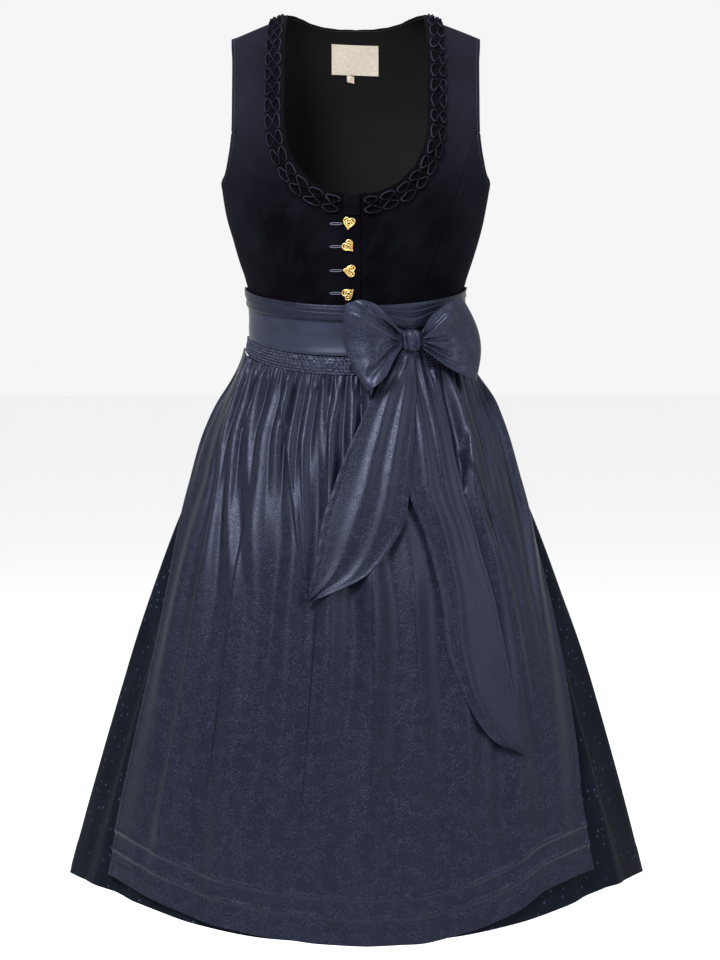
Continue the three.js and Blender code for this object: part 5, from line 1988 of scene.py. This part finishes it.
# --- bow
@dataclass
class Bow:
    """The tied bow: two loops, the knot and two tails over the apron; sizes in mm.

    Attributes:
        knot: x, z and distance out of the knot's middle.
        half: the knot's half sizes.
        out: how far the loops' middle lies over the apron's folds.
        knot_depth: depth of a loop at the knot.
        end_depth: its depth at the far end.
        puff: its depth in the middle.
        wrap: angle past which the bow runs off straight, in radians.
        right_loop, left_loop: upper and lower edge from the knot to the far end, and the bulge.
        right_folds, left_folds: each its place across the loop at the knot and at the far end,
            how far along it reaches, depth of its groove, and how far the cloth above is set back.
        short_tail, long_tail: edges of the tails at each height.
    """

    knot: Triple = (64.4, -378.4, 17)
    half: Triple = (11.8, 9.6, 13.4)
    out: float = 9
    knot_depth: float = 5
    end_depth: float = 13
    puff: float = 24
    wrap: float = 42 * DEG
    right_loop: Table = table(
        "t top_x top_z foot_x foot_z bulge",
        (0, 53.6, -371, 53.6, -385.5, 0), (0.25, 38, -351, 44, -400, -1),
        (0.5, 22, -336.5, 34, -419, -4), (0.75, 6, -332, 22, -430, -8),
        (1, -12, -336.7, 13, -435.8, -13),
    )
    left_loop: Table = table(
        "t top_x top_z foot_x foot_z bulge",
        (0, 75.2, -371, 75.2, -385.5, 0), (0.25, 83, -356, 93, -399.5, 1),
        (0.5, 95, -343, 108, -409.5, 4), (0.75, 109, -334, 124, -418, 9),
        (1, 123.5, -327.5, 140, -425, 14),
    )
    right_folds: tuple[tuple[float, float, float, float, float], ...] = (
        (0.52, 1.0, 1.2, 2.0, 8.0), (0.42, 0.3, 0.55, 3.0, 0), (0.3, 0.08, 0.9, 3.4, -2),
        (0.72, 0.9, 0.5, 2.4, 0),
    )
    left_folds: tuple[tuple[float, float, float, float, float], ...] = (
        (0.52, 0.5, 0.62, 3.6, 1.6), (0.72, 1.02, 0.8, 2.6, 4.0), (0.34, 0.14, 0.6, 3.0, 0),
        (0.18, 0.02, 0.8, 2.2, -1.4),
    )
    short_tail: Table = table(
        "z left right",
        (-388.5, 54.5, 67), (-418, 34, 70), (-446, 17, 69), (-480, 1, 67), (-508, -12, 64.5),
        (-553, -28, 60.5), (-581, -38, 55), (-605, -41.5, 43), (-638, -46, 16),
        (-660, -51.5, -28), (-669, -55.5, -51),
    )
    long_tail: Table = table(
        "z left right",
        (-388.5, 60, 78), (-440, 56, 94), (-488, 56, 108.5), (-536, 57, 119.5),
        (-555, 61.5, 124), (-590, 76, 135.5), (-625, 86, 144.5), (-671, 96.5, 158),
        (-717, 101.5, 168), (-757, 113.5, 175.5), (-796, 132.5, 184), (-826, 156, 191),
        (-843, 189, 194.5),
    )

    def envelope(self, z: Array) -> Array:
        """The highest that the apron's folds stand at a height.

        Args:
            z: heights in mm.

        Returns:
            Distances out from the figure in mm.
        """
        drop = float(SMOCK_FOOT.at(0.4)) - z
        gather = 7 * smooth(-30, 60, drop + 20) * (1 - smooth(90, 230, drop + 20))
        return np.where(drop < -20, 4.4, 1.12 * (2.0 + gather + 10.5 * smooth(20, 200, drop)))

    def lying(self, x: Reals, z: Reals, out: Reals) -> Array:
        """Points out from the figure's front that run off straight at the side.

        Args:
            x: distances off the centre line in mm.
            z: heights in mm.
            out: distances out from the figure in mm.

        Returns:
            The points.
        """
        x, z, out = np.broadcast_arrays(x, z, out)
        half = FIGURE.rows.read("half", z) + out
        front = FIGURE.rows.read("front", z) + out
        edge = half * math.sin(self.wrap)
        y = -front * np.sqrt(1 - (np.clip(x, -edge, edge) / half) ** 2)
        run = np.maximum(0, np.abs(x) - edge)
        return np.stack([x, y + run * front * math.tan(self.wrap) / half, z], axis=-1)

    def loop(self, name: str, edges: Table, right: bool) -> None:
        """A loop: cloth that leaves the knot, folds at its far end and comes back behind.

        Args:
            name: its node.
            edges: its edges from the knot to the far end.
            right: whether it is the wearer's right one.
        """
        psi = np.linspace(0, 1, 110)[None, :] * math.pi
        w = edge_spaced(72, 0.03)[:, None]
        t = np.sin(psi) ** 0.85
        bulge = edges.read("bulge", t) * np.sin(math.pi * w)
        x = mix(edges.read("foot_x", t), edges.read("top_x", t), w) + bulge
        z = mix(edges.read("foot_z", t), edges.read("top_z", t), w)
        middle = np.sin(math.pi * np.minimum(1, t * 0.72))
        depth = mix(self.knot_depth, self.end_depth, t) + (self.puff - self.end_depth) * middle
        crease = 3 * t * (1 - t) * np.sin(3 * math.pi * w)
        ray, start = (2.0, 0.5) if right else (1.7, 2)
        radiate = ray * np.sin(w * 13 + 2.2 * t + 1) * np.exp(-t * 2.1) * smooth(0, 0.08, t)
        radiate = radiate + 1.5 * np.sin(w * 21 + 1.7) * np.exp(-t * 5) * smooth(0, 0.06, t)
        soft = 1.4 * np.sin(w * 5 + t * 4 + start) * t
        for near, end, reach, groove, step in self.right_folds if right else self.left_folds:
            away = w - mix(near, end, t)
            shown = smooth(0.0, 0.14, t) * smooth(reach, reach * 0.75, t)
            cut = groove * np.exp(-((away / 0.045) ** 2)) + step * smooth(-0.01, 0.09, away)
            lip = 0.4 * (groove + step) * np.exp(-(((away + 0.09) / 0.06) ** 2))
            radiate = radiate - shown * (cut - lip)
        front = (1 + np.cos(psi)) / 2
        lift = (self.knot[2] - self.out - self.envelope(z) - 4) * (1 - smooth(0, 0.4, t))
        centred = self.out + self.envelope(z) + lift
        out = centred + front * (depth + crease) + (radiate + soft) * (0.3 + 0.7 * front)
        points = self.lying(x, z, out)
        # The loop takes the lighter jacquard copy: painted light.
        piece = Maker(name).wall(points[:, ::-1] if right else points, 1.2).build(TIED_PAINTED_LIGHT, [name])

    def tie(self) -> None:
        """The knot, with the pleats of the tie wound round it."""
        a = np.linspace(0, 2 * math.pi, 96, endpoint=False)[None, :]
        e = np.linspace(-0.5, 0.5, 60)[1:-1, None] * math.pi

        def square(value: Array) -> Array:
            """A coordinate of a rounded block from one of a ball."""
            return np.sign(value) * np.abs(value) ** 0.72

        x, y = square(np.cos(e)) * square(np.cos(a)), square(np.cos(e)) * square(np.sin(a))
        z = square(np.sin(e)) * np.ones_like(a)
        wound = np.abs(np.sin(3.4 * x + 0.5 + 0.35 * z)) ** 8
        pleat = 1 - 0.26 * wound - 0.08 * np.abs(np.sin(8 * x + 1 - 0.5 * z)) ** 4
        width, depth, height = self.half
        block = [x * width * (0.9 + 0.1 * np.abs(z)), y * depth * pleat, z * height]
        maps = np.stack(np.broadcast_arrays(a * width, e * height), axis=-1) * MM
        rings = np.stack(block, axis=-1) + self.lying(*self.knot)
        # The knot takes the lighter jacquard copy: painted light.
        piece = Maker("bow_knot").rings(rings, maps).build(TIED_PAINTED_LIGHT, ["bow_knot"])

    def tail(self, name: str, edges: Table, out: float, seed: int) -> Piece:
        """A tail that hangs from the knot over the apron's folds.

        Args:
            name: its node.
            edges: its edges at each height.
            out: how far it lies over the folds, in mm.
            seed: seed of its unevenness.

        Returns:
            The tail.
        """
        foot, top = edges.keys[0], edges.keys[-1]
        z, u = np.linspace(foot, top, 190)[:, None], edge_spaced(64, 0.035)[None, :]
        drop, side = top - z, np.minimum(u, 1 - u)
        wave = 0.28 * np.sin(z * 0.06 + seed) * smooth(0.12, 0, side) * smooth(40, 90, drop)
        x = mix(edges.read("left", z), edges.read("right", z), u) + wave
        first = 2.6 * np.exp(-(((u - 0.32 - 0.1 * np.sin(drop / 90)) / 0.1) ** 2))
        second = 2.2 * np.exp(-(((u - 0.72) / 0.08) ** 2)) * smooth(0, 40, drop)
        fold = first * smooth(10, 60, drop) + second * smooth(330, 120, drop)
        pleats = 1.4 * np.sin(u * 17 + seed) * smooth(85, 5, drop)
        soft = 1.2 * ripple(7, seed)(np.clip(drop / (top - foot), 0, 1)) * np.sin(u * 6 + seed)
        hem = 0.45 * smooth(0.075, 0.06, side) + 0.2 * np.sin(drop * 0.35) * smooth(0.1, 0.02, u)
        base = self.envelope(z)
        knot_lift = (self.knot[2] - 10 - base) * (1 - smooth(0, 55, drop))
        lifted = base + out + knot_lift + (fold + pleats + soft) * smooth(0, 20, drop) + hem
        return Maker(name).wall(self.lying(x, z, lifted), 1.1).build(JACQUARD, [name])

    def build(self) -> None:
        """Makes the loops, the knot and the tails."""
        self.loop("bow_loop_right", self.right_loop, True)
        self.loop("bow_loop_left", self.left_loop, False)
        self.tie()
        long = self.tail("tie_tail_long", self.long_tail, 4.2, 3)
        short = self.tail("tie_tail_short", self.short_tail, 6.8, 5)


# --- studio
@dataclass
class Studio:
    """A plain pale floor, soft light and the camera; sizes in metres.

    Attributes:
        floor_z: height of the floor.
        floor_half: half-width of the floor.
        camera_at: where the camera stands.
        tilt: how far it looks down, in degrees.
        lens: its focal length in mm.
        world: strength of the light from all round.
    """

    floor_z: float = -1.38
    floor_half: float = 30
    camera_at: Triple = (0.005, -2.5, -0.367)
    tilt: float = 4.1
    lens: float = 78.1
    world: float = 0.92

    def floor(self) -> None:
        """The floor."""
        mesh = bpy.data.meshes.new("floor")
        h, z = self.floor_half, self.floor_z
        corners = [(-h, -h, z), (h, -h, z), (h, h, z), (-h, h, z)]
        mesh.from_pydata(corners, [], [(0, 1, 2, 3)])
        recipe = Recipe("floor_pale")
        recipe.surface(base_color=paint(250, 250, 250), roughness=1.0)
        mesh.materials.append(recipe.material)
        floor = bpy.data.objects.new("floor", mesh)
        bpy.context.scene.collection.objects.link(floor)

    def light(self, name: str, at: Triple, aim: Triple, size: float, power: float) -> None:
        """One large soft light.

        Args:
            name: its name.
            at: where it hangs, in metres.
            aim: the point that it faces.
            size: its width in metres.
            power: its power in watts.
        """
        data = bpy.data.lights.new(name, "AREA")
        data.size = size
        data.energy = power
        lamp = bpy.data.objects.new(name, data)
        lamp.location = at
        lamp.rotation_euler = (Vector(aim) - Vector(at)).to_track_quat("-Z", "Y").to_euler()
        bpy.context.scene.collection.objects.link(lamp)

    def surroundings(self) -> None:
        """The even light from all round."""
        world = bpy.data.worlds.new("studio")
        world.use_nodes = True
        background = world.node_tree.nodes["Background"]
        background.inputs["Color"].default_value = (1, 1, 1, 1)
        background.inputs["Strength"].default_value = self.world
        bpy.context.scene.world = world

    def camera(self) -> None:
        """The camera and how it shows colours."""
        data = bpy.data.cameras.new("camera")
        data.sensor_fit = "VERTICAL"
        data.sensor_height = 36
        data.lens = self.lens
        camera = bpy.data.objects.new("camera", data)
        camera.location = self.camera_at
        camera.rotation_euler = ((90 - self.tilt) * DEG, 0, 0)
        scene = bpy.context.scene
        scene.collection.objects.link(camera)
        scene.camera = camera
        scene.view_settings.view_transform = "Standard"

    def build(self) -> None:
        """Sets the floor, the lights, the surroundings and the camera."""
        self.floor()
        self.light("key", (-0.9, -2.1, 1.55), (0, 0, -0.5), 0.9, 195)
        self.light("fill", (2.3, -1.7, 0.7), (0, 0, -0.6), 1.4, 46)
        self.light("top", (0.2, 0.8, 2.0), (0, 0, -0.4), 1.6, 30)
        self.surroundings()
        self.camera()


def main() -> None:
    """Builds the dirndl and its studio."""
    logging.basicConfig(level=logging.INFO, format="%(message)s")
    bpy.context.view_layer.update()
    for part in (Studio(), Bodice(), Labels(), Ruche(), Buttons(), Skirt(), Apron(), Bow()):
        log.info("making %s", type(part).__name__)
        part.build()
    bpy.context.view_layer.update()


if __name__ == "__main__":
    main()
